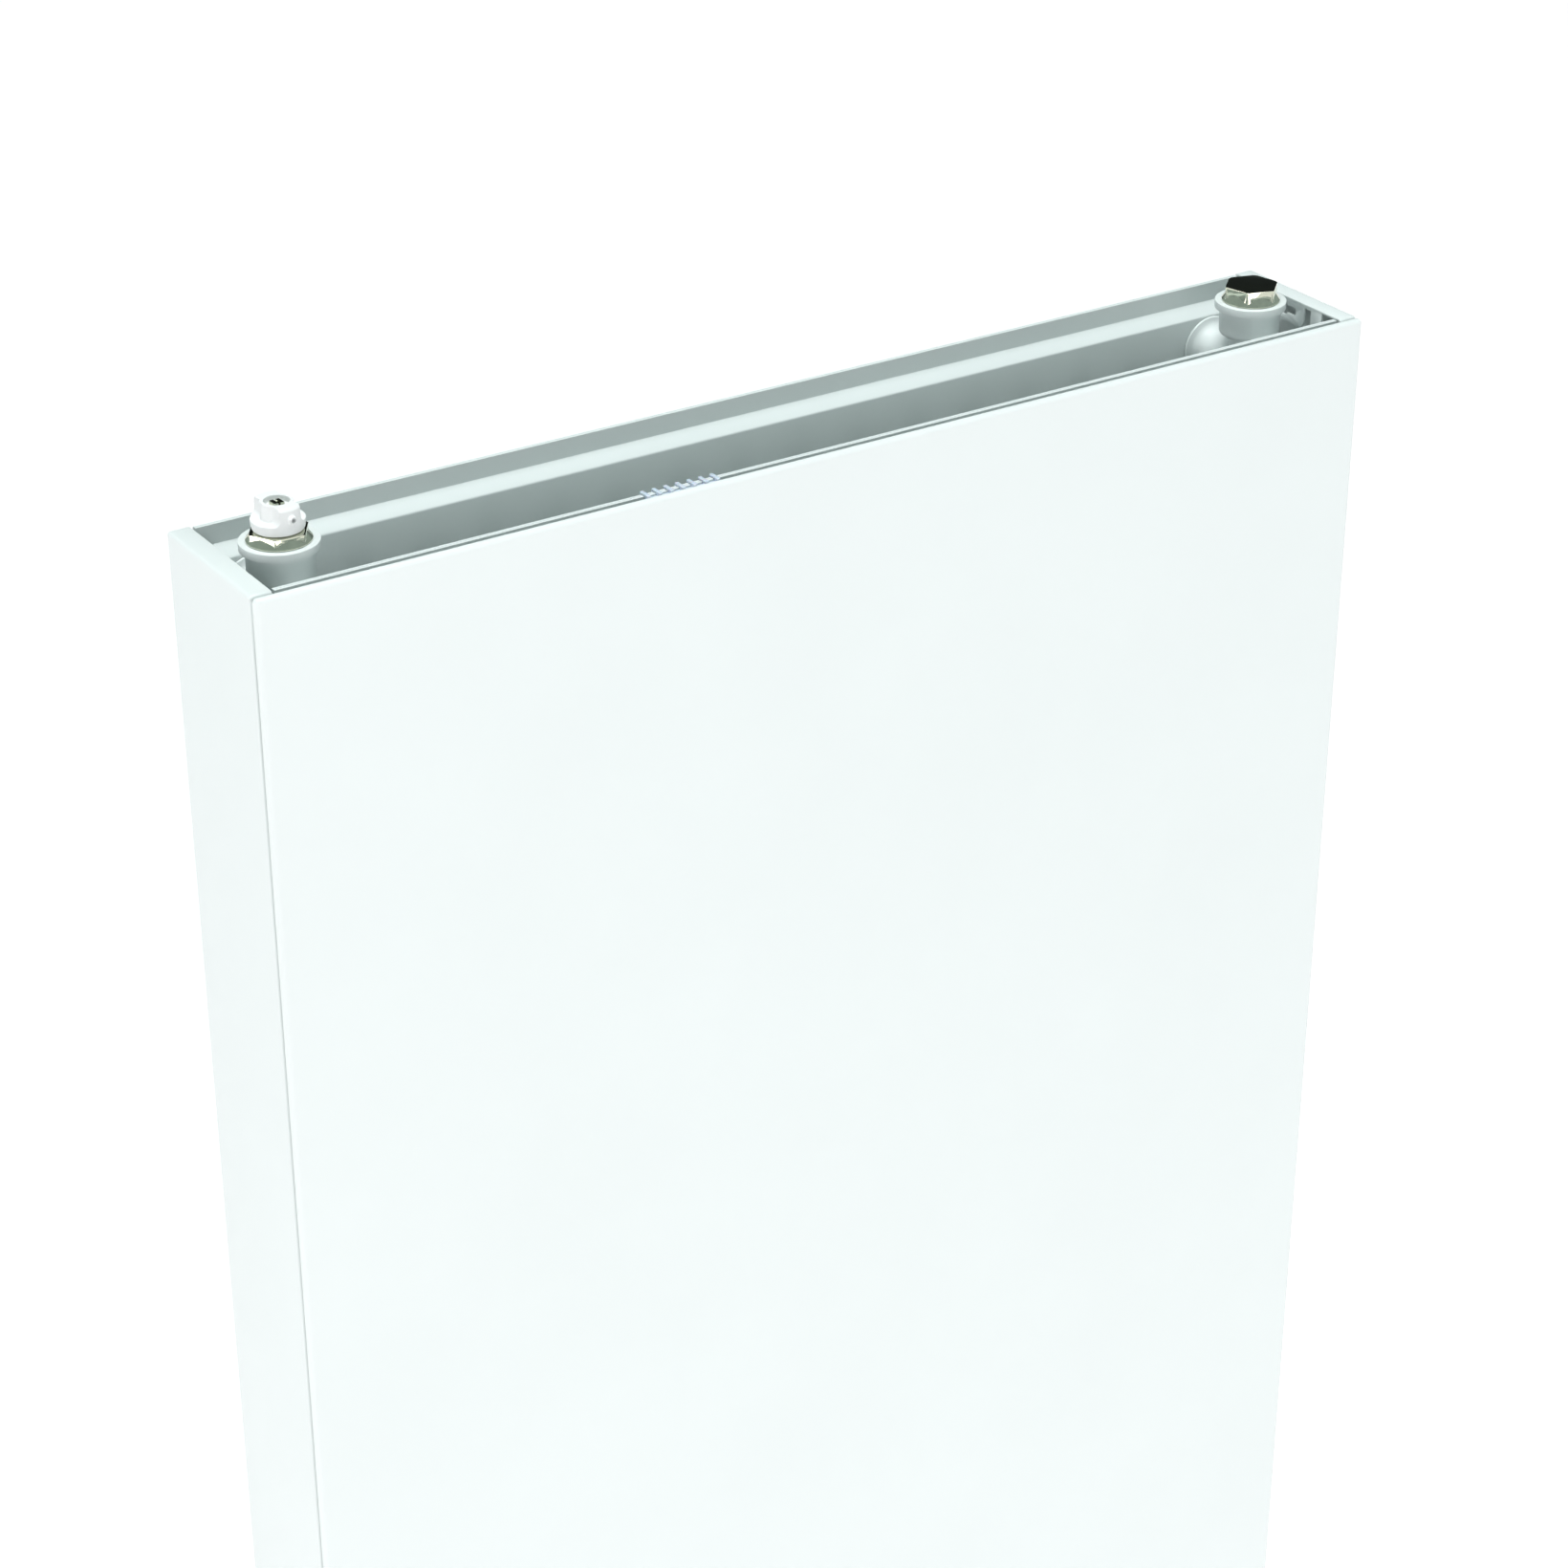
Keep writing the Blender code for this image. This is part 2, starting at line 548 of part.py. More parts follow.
def hex_fitting(name, side, skirt_height, hex_height, corner_azimuth, finish):
    """Shank, conical flange and chamfered hexagon of a fitting in an upper socket, with a groove for its seal."""
    base = (side * TEE_X, y_at(MIDDLE_DEPTH), TOP)
    shank_end = TEE_RISE - FITTING_SHANK_LENGTH
    profile = [(0, FLANGE_TOP + skirt_height), (SKIRT_TOP_RADIUS, FLANGE_TOP + skirt_height)]
    profile += [(FITTING_FLANGE_RADIUS, FLANGE_TOP), (FITTING_FLANGE_RADIUS, FLANGE_UNDERSIDE)]
    profile += [(GROOVE_RADIUS, FLANGE_UNDERSIDE), (GROOVE_RADIUS, GROOVE_TOP), (SHANK_RADIUS, GROOVE_TOP)]
    profile += [(SHANK_RADIUS, shank_end), (0, shank_end)]
    fitting = turned(name, profile, base, finish)
    top = FLANGE_TOP + hex_height
    head_low = GROOVE_TOP - CLEARANCE / 2
    head = hexagon(name + "_hexagon", HEX_ACROSS_FLATS, head_low, top, corner_azimuth, base)
    inside = HEX_ACROSS_FLATS / 2
    corner = HEX_ACROSS_FLATS / sqrt(3)
    fall = HEX_CHAMFER / (corner - inside)
    chamfer = [(0, top + OVERLAP), (inside - OVERLAP / fall, top + OVERLAP)]
    chamfer += [(corner + OVERLAP, top - HEX_CHAMFER - OVERLAP * fall)]
    chamfer += [(corner + OVERLAP, FLANGE_TOP), (0, FLANGE_TOP)]
    combine(head, turned(name + "_chamfer", chamfer, base, helper=True), "INTERSECT")
    join(fitting, head)
    return fitting, base


def seal_ring(name, side):
    """The seal in the groove under a fitting's flange, pressed on the tee's collar."""
    base = (side * TEE_X, y_at(MIDDLE_DEPTH), TOP)
    low = TEE_RISE + CLEARANCE
    outer = SEAL_OUTER_RADIUS
    inner = SOCKET_BORE_RADIUS
    round_edge = SEAL_HEIGHT / 3
    profile = [(outer - round_edge, low + SEAL_HEIGHT), (outer, low + SEAL_HEIGHT - round_edge)]
    profile += [(outer, low + round_edge), (outer - round_edge, low)]
    profile += [(inner, low), (inner, low + SEAL_HEIGHT)]
    turned(name, profile, base, BLACK_RUBBER, ring=True)


def blind_plug():
    plug, base = hex_fitting("blind_plug", 1, PLUG_SKIRT_HEIGHT, PLUG_HEX_HEIGHT, PLUG_CORNER_AZIMUTH, NICKEL)
    shank_end = TEE_RISE - FITTING_SHANK_LENGTH
    length = PLUG_HOLLOW_LENGTH + OVERLAP
    middle = TOP + shank_end - OVERLAP + length / 2
    cut(plug, rod("plug_hollow", PLUG_HOLLOW_RADIUS, length, (base[0], base[1], middle)))


def vent_bush():
    """The vent's bush: spigot for the nozzle, bore for the vent screw and an air hole below the seat."""
    bush, base = hex_fitting("vent_bush", -1, BUSH_SKIRT_HEIGHT, BUSH_HEX_HEIGHT, BUSH_CORNER_AZIMUTH, NICKEL)
    spigot_top = BUSH_TOP + SPIGOT_LENGTH
    groove_low = NOZZLE_BASE + NOZZLE_SEAL_LIFT - CLEARANCE
    groove_high = groove_low + NOZZLE_SEAL_HEIGHT + 2 * CLEARANCE
    groove = SPIGOT_RADIUS - NOZZLE_SEAL_DEPTH
    spigot = [(0, spigot_top), (SPIGOT_RADIUS, spigot_top), (SPIGOT_RADIUS, groove_high)]
    spigot += [(groove, groove_high), (groove, groove_low), (SPIGOT_RADIUS, groove_low)]
    spigot += [(SPIGOT_RADIUS, FLANGE_TOP), (0, FLANGE_TOP)]
    join(bush, turned("vent_spigot", spigot, base, helper=True, steps=SMALL_STEPS))
    bottom = TEE_RISE - FITTING_SHANK_LENGTH - OVERLAP
    bore = [(0, spigot_top + OVERLAP), (SCREW_BORE_RADIUS, spigot_top + OVERLAP), (SCREW_BORE_RADIUS, SEAT)]
    bore += [(AIR_BORE_RADIUS, SEAT), (AIR_BORE_RADIUS, bottom), (0, bottom)]
    cut(bush, turned("vent_bore", bore, base, helper=True, steps=SMALL_STEPS))


# ---------------------------------------------------------------- air vent


def vent_axis():
    """An empty on the vent's axis, at the height of the radiator's top edge."""
    axis = bpy.data.objects.new("vent_axis", None)
    PARTS.objects.link(axis)
    axis.location = (-TEE_X, y_at(MIDDLE_DEPTH), TOP)
    return axis


def nozzle_seal(axis):
    low = NOZZLE_BASE + NOZZLE_SEAL_LIFT
    outer = SPIGOT_RADIUS
    inner = SPIGOT_RADIUS - NOZZLE_SEAL_DEPTH + CLEARANCE
    profile = [(outer, low + NOZZLE_SEAL_HEIGHT), (outer, low), (inner, low)]
    profile += [(inner, low + NOZZLE_SEAL_HEIGHT)]
    ring = turned("vent_nozzle_seal", profile, (0, 0, 0), BLACK_RUBBER, steps=SMALL_STEPS, ring=True)
    ring.parent = axis


def vent_nozzle(axis):
    """The swivelling nozzle: a round body, scooped on both sides to leave a grip bar, with a spout at its front."""
    base, top = NOZZLE_BASE, NOZZLE_TOP
    edge = NOZZLE_EDGE
    profile = [(0, top), (NOZZLE_TOP_RADIUS - edge, top), (NOZZLE_TOP_RADIUS, top - edge)]
    profile += [(NOZZLE_BASE_RADIUS, base + NOZZLE_BASE_EDGE), (NOZZLE_BASE_RADIUS - NOZZLE_BASE_EDGE, base)]
    profile += [(0, base)]
    nozzle = turned("vent_nozzle", profile, (0, 0, 0), WHITE_PLASTIC)
    nozzle.rotation_euler = (0, 0, radians(NOZZLE_AZIMUTH))
    nozzle.parent = axis
    reach = NOZZLE_BASE_RADIUS + SPOUT_REACH
    spout_z = base + SPOUT_HEIGHT
    helpers = []
    spout_start = NOZZLE_RING_RADIUS
    spout = rod(
        "nozzle_spout", SPOUT_RADIUS, reach - spout_start, ((reach + spout_start) / 2, 0, spout_z), "X",
        FINE_STEPS,
    )
    floor_z = top - SCOOP_DEPTH
    outside = NOZZLE_BASE_RADIUS + OVERLAP
    scoops = []
    for side in (-1, 1):
        ends = sorted((side * NOZZLE_BAR_HALF_WIDTH, side * outside))
        scoop = block(
            f"nozzle_scoop_{side:+d}",
            (-outside, ends[0], floor_z),
            (outside, ends[1], top + SCOOP_EDGE + OVERLAP),
            helper=True,
            edge=SCOOP_EDGE,
        )
        core_height = top + 2 * OVERLAP + SCOOP_EDGE - floor_z
        core = rod(
            f"nozzle_ring_{side:+d}", NOZZLE_RING_RADIUS, 2 * core_height, (0, 0, floor_z + OVERLAP / 2),
            steps=ROUND_STEPS,
        )
        cut(scoop, core)
        helpers.append(core)
        scoops.append(scoop)
    cavity_top = base + NOZZLE_CAVITY_HEIGHT
    inside = [(0, top + OVERLAP), (RECESS_RADIUS, top + OVERLAP), (RECESS_RADIUS, top - RECESS_DEPTH)]
    bore = SCREW_BORE_RADIUS + CLEARANCE
    wide = SPIGOT_RADIUS + CLEARANCE
    inside += [(bore, top - RECESS_DEPTH), (bore, cavity_top), (wide, cavity_top)]
    inside += [(wide, base - OVERLAP), (0, base - OVERLAP)]
    hollow = turned("nozzle_hollow", inside, (0, 0, 0), helper=True)
    spout_bore = rod(
        "nozzle_spout_bore", SPOUT_BORE_RADIUS, reach + OVERLAP - bore,
        ((reach + OVERLAP + bore) / 2, 0, spout_z), "X", FINE_STEPS,
    )
    for helper in (*scoops, *helpers, spout, hollow, spout_bore):
        helper.matrix_world = Matrix.Rotation(radians(NOZZLE_AZIMUTH), 4, "Z") @ helper.matrix_basis
        helper.parent = axis
    cut(nozzle, *scoops)
    join(nozzle, spout)
    cut(nozzle, hollow, spout_bore)


def vent_screw(axis):
    """The vent screw: slotted square head for a vent key above a round threaded body."""
    shoulder = SCREW_TOP - SCREW_HEAD_LENGTH
    low = SEAT + CLEARANCE + SCREW_TIP_HEIGHT + CLEARANCE
    profile = [(0, shoulder), (SCREW_RADIUS, shoulder), (SCREW_RADIUS, low), (0, low)]
    screw = turned("vent_screw", profile, (0, 0, 0), NICKEL, steps=SMALL_STEPS)
    half = SCREW_SQUARE / 2
    head = block(
        "screw_head", (-half, -half, shoulder - OVERLAP), (half, half, SCREW_TOP), helper=True,
        edge=SCREW_SQUARE / 12,
    )
    slot = block(
        "screw_slot",
        (-SCREW_SQUARE, -SLOT_WIDTH / 2, SCREW_TOP - SLOT_DEPTH),
        (SCREW_SQUARE, SLOT_WIDTH / 2, SCREW_TOP + OVERLAP),
        helper=True,
    )
    join(screw, head)
    cut(screw, slot)
    for obj in (screw, head, slot):
        obj.parent = axis
        obj.rotation_euler = (0, 0, radians(SCREW_SLOT_AZIMUTH))
    low = SEAT + CLEARANCE
    profile = [(0, low + SCREW_TIP_HEIGHT), (SCREW_TIP_RADIUS, low + SCREW_TIP_HEIGHT)]
    profile += [(SCREW_TIP_RADIUS, low + SCREW_TIP_HEIGHT / 3), (AIR_BORE_RADIUS, low), (0, low)]
    tip = turned("vent_screw_tip", profile, (0, 0, 0), BLACK_RUBBER, steps=SMALL_STEPS)
    tip.parent = axis


# ---------------------------------------------------------------- clip and lugs


def comb_clip():
    """A clip astride the front seam, its teeth bridging from the groove behind the front plate."""
    front = PLATE_RETURN + CLEARANCE
    seam_front = FRONT_SEAM - SHEET_SEAM - CLEARANCE
    seam_back = FRONT_SEAM + SHEET_SEAM + CLEARANCE
    back = seam_back + COMB_REAR_THICKNESS
    over = CLEARANCE - PANEL_TOP_DROP
    outline = [(front, -COMB_FRONT_LEG), (seam_front, -COMB_FRONT_LEG), (seam_front, over)]
    outline += [(seam_back, over), (seam_back, -COMB_REAR_LEG), (back, -COMB_REAR_LEG)]
    outline += [(back, COMB_RISE), (front, COMB_RISE)]
    length = (COMB_TEETH - 1) * COMB_PITCH + COMB_TOOTH
    clip = flat_outline("comb_clip", [outline], length, PALE_PLASTIC)
    stand = Matrix.Rotation(pi / 2, 4, "Z") @ Matrix.Rotation(pi / 2, 4, "X")
    clip.matrix_world = Matrix.Translation((COMB_CENTRE, y_at(0), TOP)) @ stand
    gap = COMB_PITCH - COMB_TOOTH
    for i in range(COMB_TEETH - 1):
        middle = COMB_CENTRE + (i - (COMB_TEETH - 2) / 2) * COMB_PITCH
        low = (middle - gap / 2, y_at(0), TOP - COMB_WINDOW_DROP)
        high = (middle + gap / 2, y_at(back + OVERLAP), TOP + COMB_RISE + OVERLAP)
        cut(clip, block(f"comb_window_{i + 1}", low, high, helper=True))


def lug(name, x, shelf_z):
    """A hanging lug: a foot on a channel of the rear panel, a shelf and a leg that drops into a wall bracket."""
    bm = bmesh.new()
    front = -LUG_REACH
    above = LUG_THICKNESS
    path = [(front, -LUG_FOOT), (front, above), (0, above), (0, -LUG_LEG)]
    corners = [bm.verts.new((-LUG_WIDTH / 2, y, z)) for y, z in path]
    line = [bm.edges.new(pair) for pair in zip(corners, corners[1:])]
    swept = bmesh.ops.extrude_edge_only(bm, edges=line)
    moved = [v for v in swept["geom"] if isinstance(v, bmesh.types.BMVert)]
    bmesh.ops.translate(bm, vec=(LUG_WIDTH, 0, 0), verts=moved)
    bends = [e for e in bm.edges if len(e.link_faces) == 2]
    outside = LUG_BEND + LUG_THICKNESS
    bmesh.ops.bevel(bm, geom=bends, offset=outside, segments=3, profile=0.5, affect="EDGES")
    bmesh.ops.recalc_face_normals(bm, faces=bm.faces)
    shelf = max(bm.faces, key=lambda face: face.calc_center_median().z)
    if shelf.normal.z < 0:
        bmesh.ops.reverse_faces(bm, faces=bm.faces)
    made = place(name, mesh_of(bm, name), (x, 0, shelf_z), WHITE_PAINT)
    solidify = made.modifiers.new("strip", "SOLIDIFY")
    solidify.thickness = LUG_THICKNESS
    solidify.offset = -1
    solidify.use_even_offset = True


def lugs():
    reach = channel_centres()[-1 - LUG_CHANNELS_FROM_SIDE]
    for side, x in (("left", -reach), ("right", reach)):
        lug(f"upper_lug_{side}", x, 0.0)
        lug(f"lower_lug_{side}", x, z_at(HEIGHT - LOWER_LUG_RISE))


def main():
    front_plate()
    ports = port_cutters()
    pressed_sheet("front_panel_outer_sheet", FRONT_SEAM, False, OUTER_PRESSING)
    pressed_sheet("front_panel_inner_sheet", FRONT_SEAM, True, INNER_PRESSING, ports)
    pressed_sheet("rear_panel_inner_sheet", REAR_SEAM, False, INNER_PRESSING, ports)
    pressed_sheet("rear_panel_outer_sheet", REAR_SEAM, True, OUTER_PRESSING)
    cover("left_cover", -1)
    cover("right_cover", 1)
    for side, where in ((-1, "left"), (1, "right")):
        tee(f"upper_tee_{where}", side, 1)
        tee(f"lower_tee_{where}", side, -1)
    blind_plug()
    seal_ring("plug_seal", 1)
    vent_bush()
    seal_ring("bush_seal", -1)
    axis = vent_axis()
    nozzle_seal(axis)
    vent_nozzle(axis)
    vent_screw(axis)
    comb_clip()
    lugs()


main()
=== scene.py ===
"""Finished look of a flat-front panel radiator: plates, pressed panels, tees, plug, vent, clip and lugs."""

import json
from math import cos, pi, radians, sin, sqrt

import bmesh
import bpy
from bpy.props import FloatProperty, FloatVectorProperty, IntProperty, PointerProperty
from mathutils import Matrix, Vector


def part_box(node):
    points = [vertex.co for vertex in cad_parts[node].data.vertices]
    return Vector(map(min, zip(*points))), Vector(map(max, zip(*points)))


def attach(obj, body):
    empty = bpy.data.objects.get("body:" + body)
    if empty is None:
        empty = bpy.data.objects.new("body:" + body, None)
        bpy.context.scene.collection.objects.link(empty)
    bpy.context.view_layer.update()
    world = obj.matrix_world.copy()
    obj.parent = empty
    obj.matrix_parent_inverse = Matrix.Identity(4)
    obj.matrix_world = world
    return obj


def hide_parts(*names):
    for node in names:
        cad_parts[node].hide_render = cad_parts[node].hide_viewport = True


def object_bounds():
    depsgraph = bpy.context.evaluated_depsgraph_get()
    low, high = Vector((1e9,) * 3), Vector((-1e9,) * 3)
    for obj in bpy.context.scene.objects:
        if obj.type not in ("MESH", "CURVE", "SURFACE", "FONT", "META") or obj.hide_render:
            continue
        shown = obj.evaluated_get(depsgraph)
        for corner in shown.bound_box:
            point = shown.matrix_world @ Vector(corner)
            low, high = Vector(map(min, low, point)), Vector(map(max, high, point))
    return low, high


bl_info = {
    "name": "Panel radiator",
    "version": (1, 0, 0),
    "blender": (4, 5, 0),
    "location": "View3D > Sidebar > Radiator",
    "description": "Models a flat-front panel radiator with an air vent, piece by piece",
    "category": "Mesh",
}

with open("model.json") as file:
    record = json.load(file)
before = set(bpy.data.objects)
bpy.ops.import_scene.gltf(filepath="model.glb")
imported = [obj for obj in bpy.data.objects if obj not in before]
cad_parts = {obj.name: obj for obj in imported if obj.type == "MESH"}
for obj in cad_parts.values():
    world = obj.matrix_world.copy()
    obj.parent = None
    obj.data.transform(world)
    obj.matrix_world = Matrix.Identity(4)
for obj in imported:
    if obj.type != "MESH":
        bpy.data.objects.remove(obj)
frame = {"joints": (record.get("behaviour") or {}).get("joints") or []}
CAD_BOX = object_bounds()
BODY = "radiator"


def corners(node):
    """The lowest and highest corner of a CAD node."""
    low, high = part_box(node)
    return Vector(low), Vector(high)


CLEARANCE = 0.0003  # between pieces that touch
OVER = 0.001  # how far a cutter reaches past what it cuts
PLATE_LOW, PLATE_HIGH = corners("front_plate")
TOP = PLATE_HIGH.z
FRONT = PLATE_LOW.y
JOINTS = {joint["name"]: joint for joint in frame["joints"]}
VENT_AXIS = Vector(JOINTS["vent_nozzle_swivel"]["pos_m"])
VENT_CENTRE = Vector((VENT_AXIS.x, VENT_AXIS.y, 0))
NOZZLE_LOW, NOZZLE_HIGH = corners("vent_nozzle")
FLANGE_UNDER = corners("plug_seal")[0].z
FLANGE_EDGE = FLANGE_UNDER + 0.0005  # top of the edge of a fitting's flange
GROOVE_TOP = corners("plug_seal")[1].z + CLEARANCE


def length(name, description, default):
    return FloatProperty(
        name=name, description=description, default=default, min=0.00001, unit="LENGTH", precision=5
    )


def colour(name, description, default):
    return FloatVectorProperty(
        name=name, description=description, default=default, min=0.0, max=1.0, subtype="COLOR"
    )


def factor(name, description, default):
    return FloatProperty(
        name=name, description=description, default=default, min=0.0, max=1.0, subtype="FACTOR"
    )


def angle(name, description, degrees):
    return FloatProperty(name=name, description=description, default=radians(degrees), subtype="ANGLE")


def strength(name, description, default):
    return FloatProperty(name=name, description=description, default=default, min=0.0)


# ---------------------------------------------------------------- settings


class RadiatorSheetSizes(bpy.types.PropertyGroup):
    """Sizes of the folded and pressed sheet steel"""

    gauge: length("Gauge", "Thickness of the sheet steel", 0.0012)
    plate_edge: length("Plate edge", "Radius round the front plate's edges", 0.0025)
    cover_edge: length("Cover edge", "Radius of the side covers' folds", 0.0017)
    cover_flange: length("Cover flange", "Width of the side covers' flanges", 0.0106)
    raw_edge: length("Raw edge", "Rounding that paint gives a cut edge", 0.0003)
    seam: length("Seam", "Height of a water panel's flat seam", 0.0098)
    header_slope: length("Header slope", "Height of the slopes above and below a header", 0.0050)
    header_flat: length("Header flat", "Height of a header's flat face", 0.0320)
    side_seam: length("Side seam", "Width of the flat seam beside a header", 0.0035)
    channel_pitch: length("Channel pitch", "Distance from channel to channel", 0.0333)
    channel_flat: length("Channel flat", "Width of a channel's flat face", 0.0170)
    channel_slope: length("Channel slope", "Width of the slopes beside a channel", 0.0046)
    fold_radius: length("Fold width", "Width of the rounding along each pressed fold", 0.0016)


class RadiatorLipSizes(bpy.types.PropertyGroup):
    """Sizes of the slotted lips inside the side covers"""

    height: length("Height", "Drop of the lip below the cover's top", 0.0134)
    front: length("Front", "Depth of the lip's front end behind the plate's face", 0.0192)
    back: length("Back", "Depth of the lip's back end behind the plate's face", 0.0716)
    slot_front: length("Slot front", "Depth of the slot's front edge", 0.0272)
    slot_width: length("Slot width", "Width of the slot", 0.0049)
    slot_drop: length("Slot drop", "Drop of the slot's upper end", 0.0023)
    corner: length("Corner", "Radius of the hook's corner beside the slot", 0.0050)
    hole_depth: length("Keyhole depth", "Depth of the keyhole's round end", 0.0475)
    hole_drop: length("Keyhole drop", "Drop of the keyhole's middle", 0.0064)
    hole_radius: length("Keyhole radius", "Radius of the keyhole's round end", 0.0034)
    hole_slot: length("Keyhole slot", "Half height of the keyhole's narrow end", 0.0020)
    hole_reach: length("Keyhole reach", "Distance from the round end to the narrow one", 0.0074)


class RadiatorFittingSizes(bpy.types.PropertyGroup):
    """Sizes of the tees and of the hexagon fittings"""

    collar_radius: length("Collar radius", "Radius of a tee's collar", 0.0176)
    collar_height: length("Collar height", "Height of a tee's collar", 0.0037)
    cup_radius: length("Cup radius", "Radius of a tee's cup", 0.0150)
    cup_height: length("Cup height", "Height of a tee's collar and cup", 0.0180)
    stem_radius: length("Stem radius", "Radius of the stem below the cup", 0.0095)
    neck_radius: length("Neck radius", "Radius of the cross neck", 0.0105)
    flare_radius: length("Flare radius", "Radius of the neck's ends", 0.0150)
    flare_length: length("Flare length", "Length of the neck's flared ends", 0.0100)
    bore_radius: length("Bore radius", "Radius of the socket's bore", 0.0106)
    bore_depth: length("Bore depth", "Depth of the socket's bore", 0.0140)
    water_radius: length("Water radius", "Radius of the water way", 0.0070)
    bead: length("Weld bead", "Radius of the weld beads", 0.0011)
    flange_radius: length("Flange radius", "Radius of the fittings' round flanges", 0.0144)
    across_flats: length("Across flats", "Size of the hexagons", 0.0240)
    skirt_radius: length("Skirt radius", "Radius at the top of the flanges' cones", 0.0116)
    groove_radius: length("Groove radius", "Radius of the seals' grooves", 0.0129)
    plug_skirt: length("Plug skirt", "Height of the cone on the plug's flange", 0.0042)
    plug_height: length("Plug hexagon", "Height of the plug's hexagon", 0.0071)
    bush_skirt: length("Bush skirt", "Height of the cone on the bush's flange", 0.0033)
    bush_height: length("Bush hexagon", "Height of the bush's hexagon", 0.0041)
    thread_pitch: length("Thread pitch", "Pitch of the pipe threads", 0.0018)


class RadiatorVentSizes(bpy.types.PropertyGroup):
    """Sizes of the vent's nozzle and screw"""

    base_radius: length("Base radius", "Radius of the nozzle's base", 0.0119)
    top_radius: length("Top radius", "Radius of the nozzle's top", 0.0115)
    ring_radius: length("Ring radius", "Radius of the wall round the key's recess", 0.0071)
    bar_half: length("Bar half width", "Half the width of the nozzle's grip bar", 0.0052)
    scoop_depth: length("Scoop depth", "Depth of the finger scoops", 0.0078)
    recess_radius: length("Recess radius", "Radius of the key's recess", 0.0057)
    recess_depth: length("Recess depth", "Depth of the key's recess", 0.0028)
    bore: length("Bore", "Radius of the bore round the vent screw", 0.0039)
    cavity: length("Cavity", "Radius of the hollow round the bush's spigot", 0.0062)
    cavity_height: length("Cavity height", "Height of that hollow", 0.0075)
    spout_radius: length("Spout radius", "Radius of the spout", 0.00175)
    spout_bore: length("Spout bore", "Radius of the spout's bore", 0.00105)
    spout_height: length("Spout height", "Height of the spout above the nozzle's base", 0.0076)
    head: length("Head", "Length of the vent screw's square head", 0.0050)
    square: length("Square", "Size of the vent screw's square", 0.0050)
    slot: length("Slot", "Width of the vent screw's slot", 0.0010)
    slot_depth: length("Slot depth", "Depth of the vent screw's slot", 0.0012)
    screw_pitch: length("Screw pitch", "Pitch of the vent screw's thread", 0.0010)
    grain: length("Grain", "Size of the cells that the nozzle's shape is smoothed in", 0.00022)


class RadiatorFinish(bpy.types.PropertyGroup):
    """Colours and roughness of the finishes"""

    paint: colour("Paint", "Powder coat on the steel", (0.835, 0.878, 0.872))
    paint_roughness: factor("Paint roughness", "Roughness of the powder coat", 0.42)
    nickel: colour("Nickel", "Nickel plating on the fittings", (0.68, 0.70, 0.57))
    nickel_roughness: factor("Nickel roughness", "Roughness of the plating", 0.045)
    plastic: colour("White plastic", "Plastic of the vent's nozzle", (0.84, 0.87, 0.87))
    clip: colour("Clip plastic", "Plastic of the comb clip", (0.64, 0.71, 0.82))
    rubber: colour("Rubber", "Rubber of the seals", (0.012, 0.012, 0.012))
    floor: colour("Floor", "Floor of the stage", (0.93, 0.93, 0.93))


# ---------------------------------------------------------------- modelling helpers


def deselect_all():
    bpy.ops.object.select_all(action="DESELECT")


def select_only(obj):
    deselect_all()
    obj.select_set(True)
    bpy.context.view_layer.objects.active = obj


def begin(name):
    """Names the primitive that was just added and opens it in edit mode."""
    obj = bpy.context.object
    obj.name = name
    obj.data.name = name
    bpy.ops.object.mode_set(mode="EDIT")
    return obj


def end():
    bpy.ops.object.mode_set(mode="OBJECT")


def pick(kind, test):
    """Selects only the vertices, edges or faces that pass a test, in edit mode."""
    obj = bpy.context.object
    bpy.context.tool_settings.mesh_select_mode = [kind == mode for mode in ("verts", "edges", "faces")]
    bpy.ops.mesh.select_all(action="DESELECT")
    mesh = bmesh.from_edit_mesh(obj.data)
    for item in getattr(mesh, kind):
        if test(item):
            item.select_set(True)
    mesh.select_flush_mode()
    bmesh.update_edit_mesh(obj.data)


def middle(edge, obj):
    """World middle of an edge of the object in edit mode."""
    return obj.matrix_world @ ((edge.verts[0].co + edge.verts[1].co) / 2)


def direction(edge, obj):
    """World direction of an edge of the object in edit mode, as positive shares of X, Y and Z."""
    along = obj.matrix_world.to_3x3() @ (edge.verts[1].co - edge.verts[0].co)
    return [abs(part) / along.length for part in along]


def apply(obj, modifier):
    select_only(obj)
    bpy.ops.object.modifier_apply(modifier=modifier.name)


def place_in_mesh(obj):
    select_only(obj)
    bpy.ops.object.transform_apply(location=True, rotation=True, scale=True)


def combine(obj, other, operation="DIFFERENCE"):
    """Cuts another object from this one or unites the two, and removes the other."""
    modifier = obj.modifiers.new("combine", "BOOLEAN")
    modifier.operation = operation
    modifier.solver = "EXACT"
    modifier.object = other
    apply(obj, modifier)
    bpy.data.objects.remove(other)
    return obj


def round_edges(obj, width, segments=3, angle=30):
    """Rounds every edge sharper than the angle."""
    bevel = obj.modifiers.new("rounded edges", "BEVEL")
    bevel.width = width
    bevel.segments = segments
    bevel.limit_method = "ANGLE"
    bevel.angle_limit = radians(angle)
    bevel.miter_outer = "MITER_ARC"
    apply(obj, bevel)


def thicken(obj, thickness, offset):
    solidify = obj.modifiers.new("sheet", "SOLIDIFY")
    solidify.thickness = thickness
    solidify.offset = offset
    solidify.use_even_offset = True
    apply(obj, solidify)


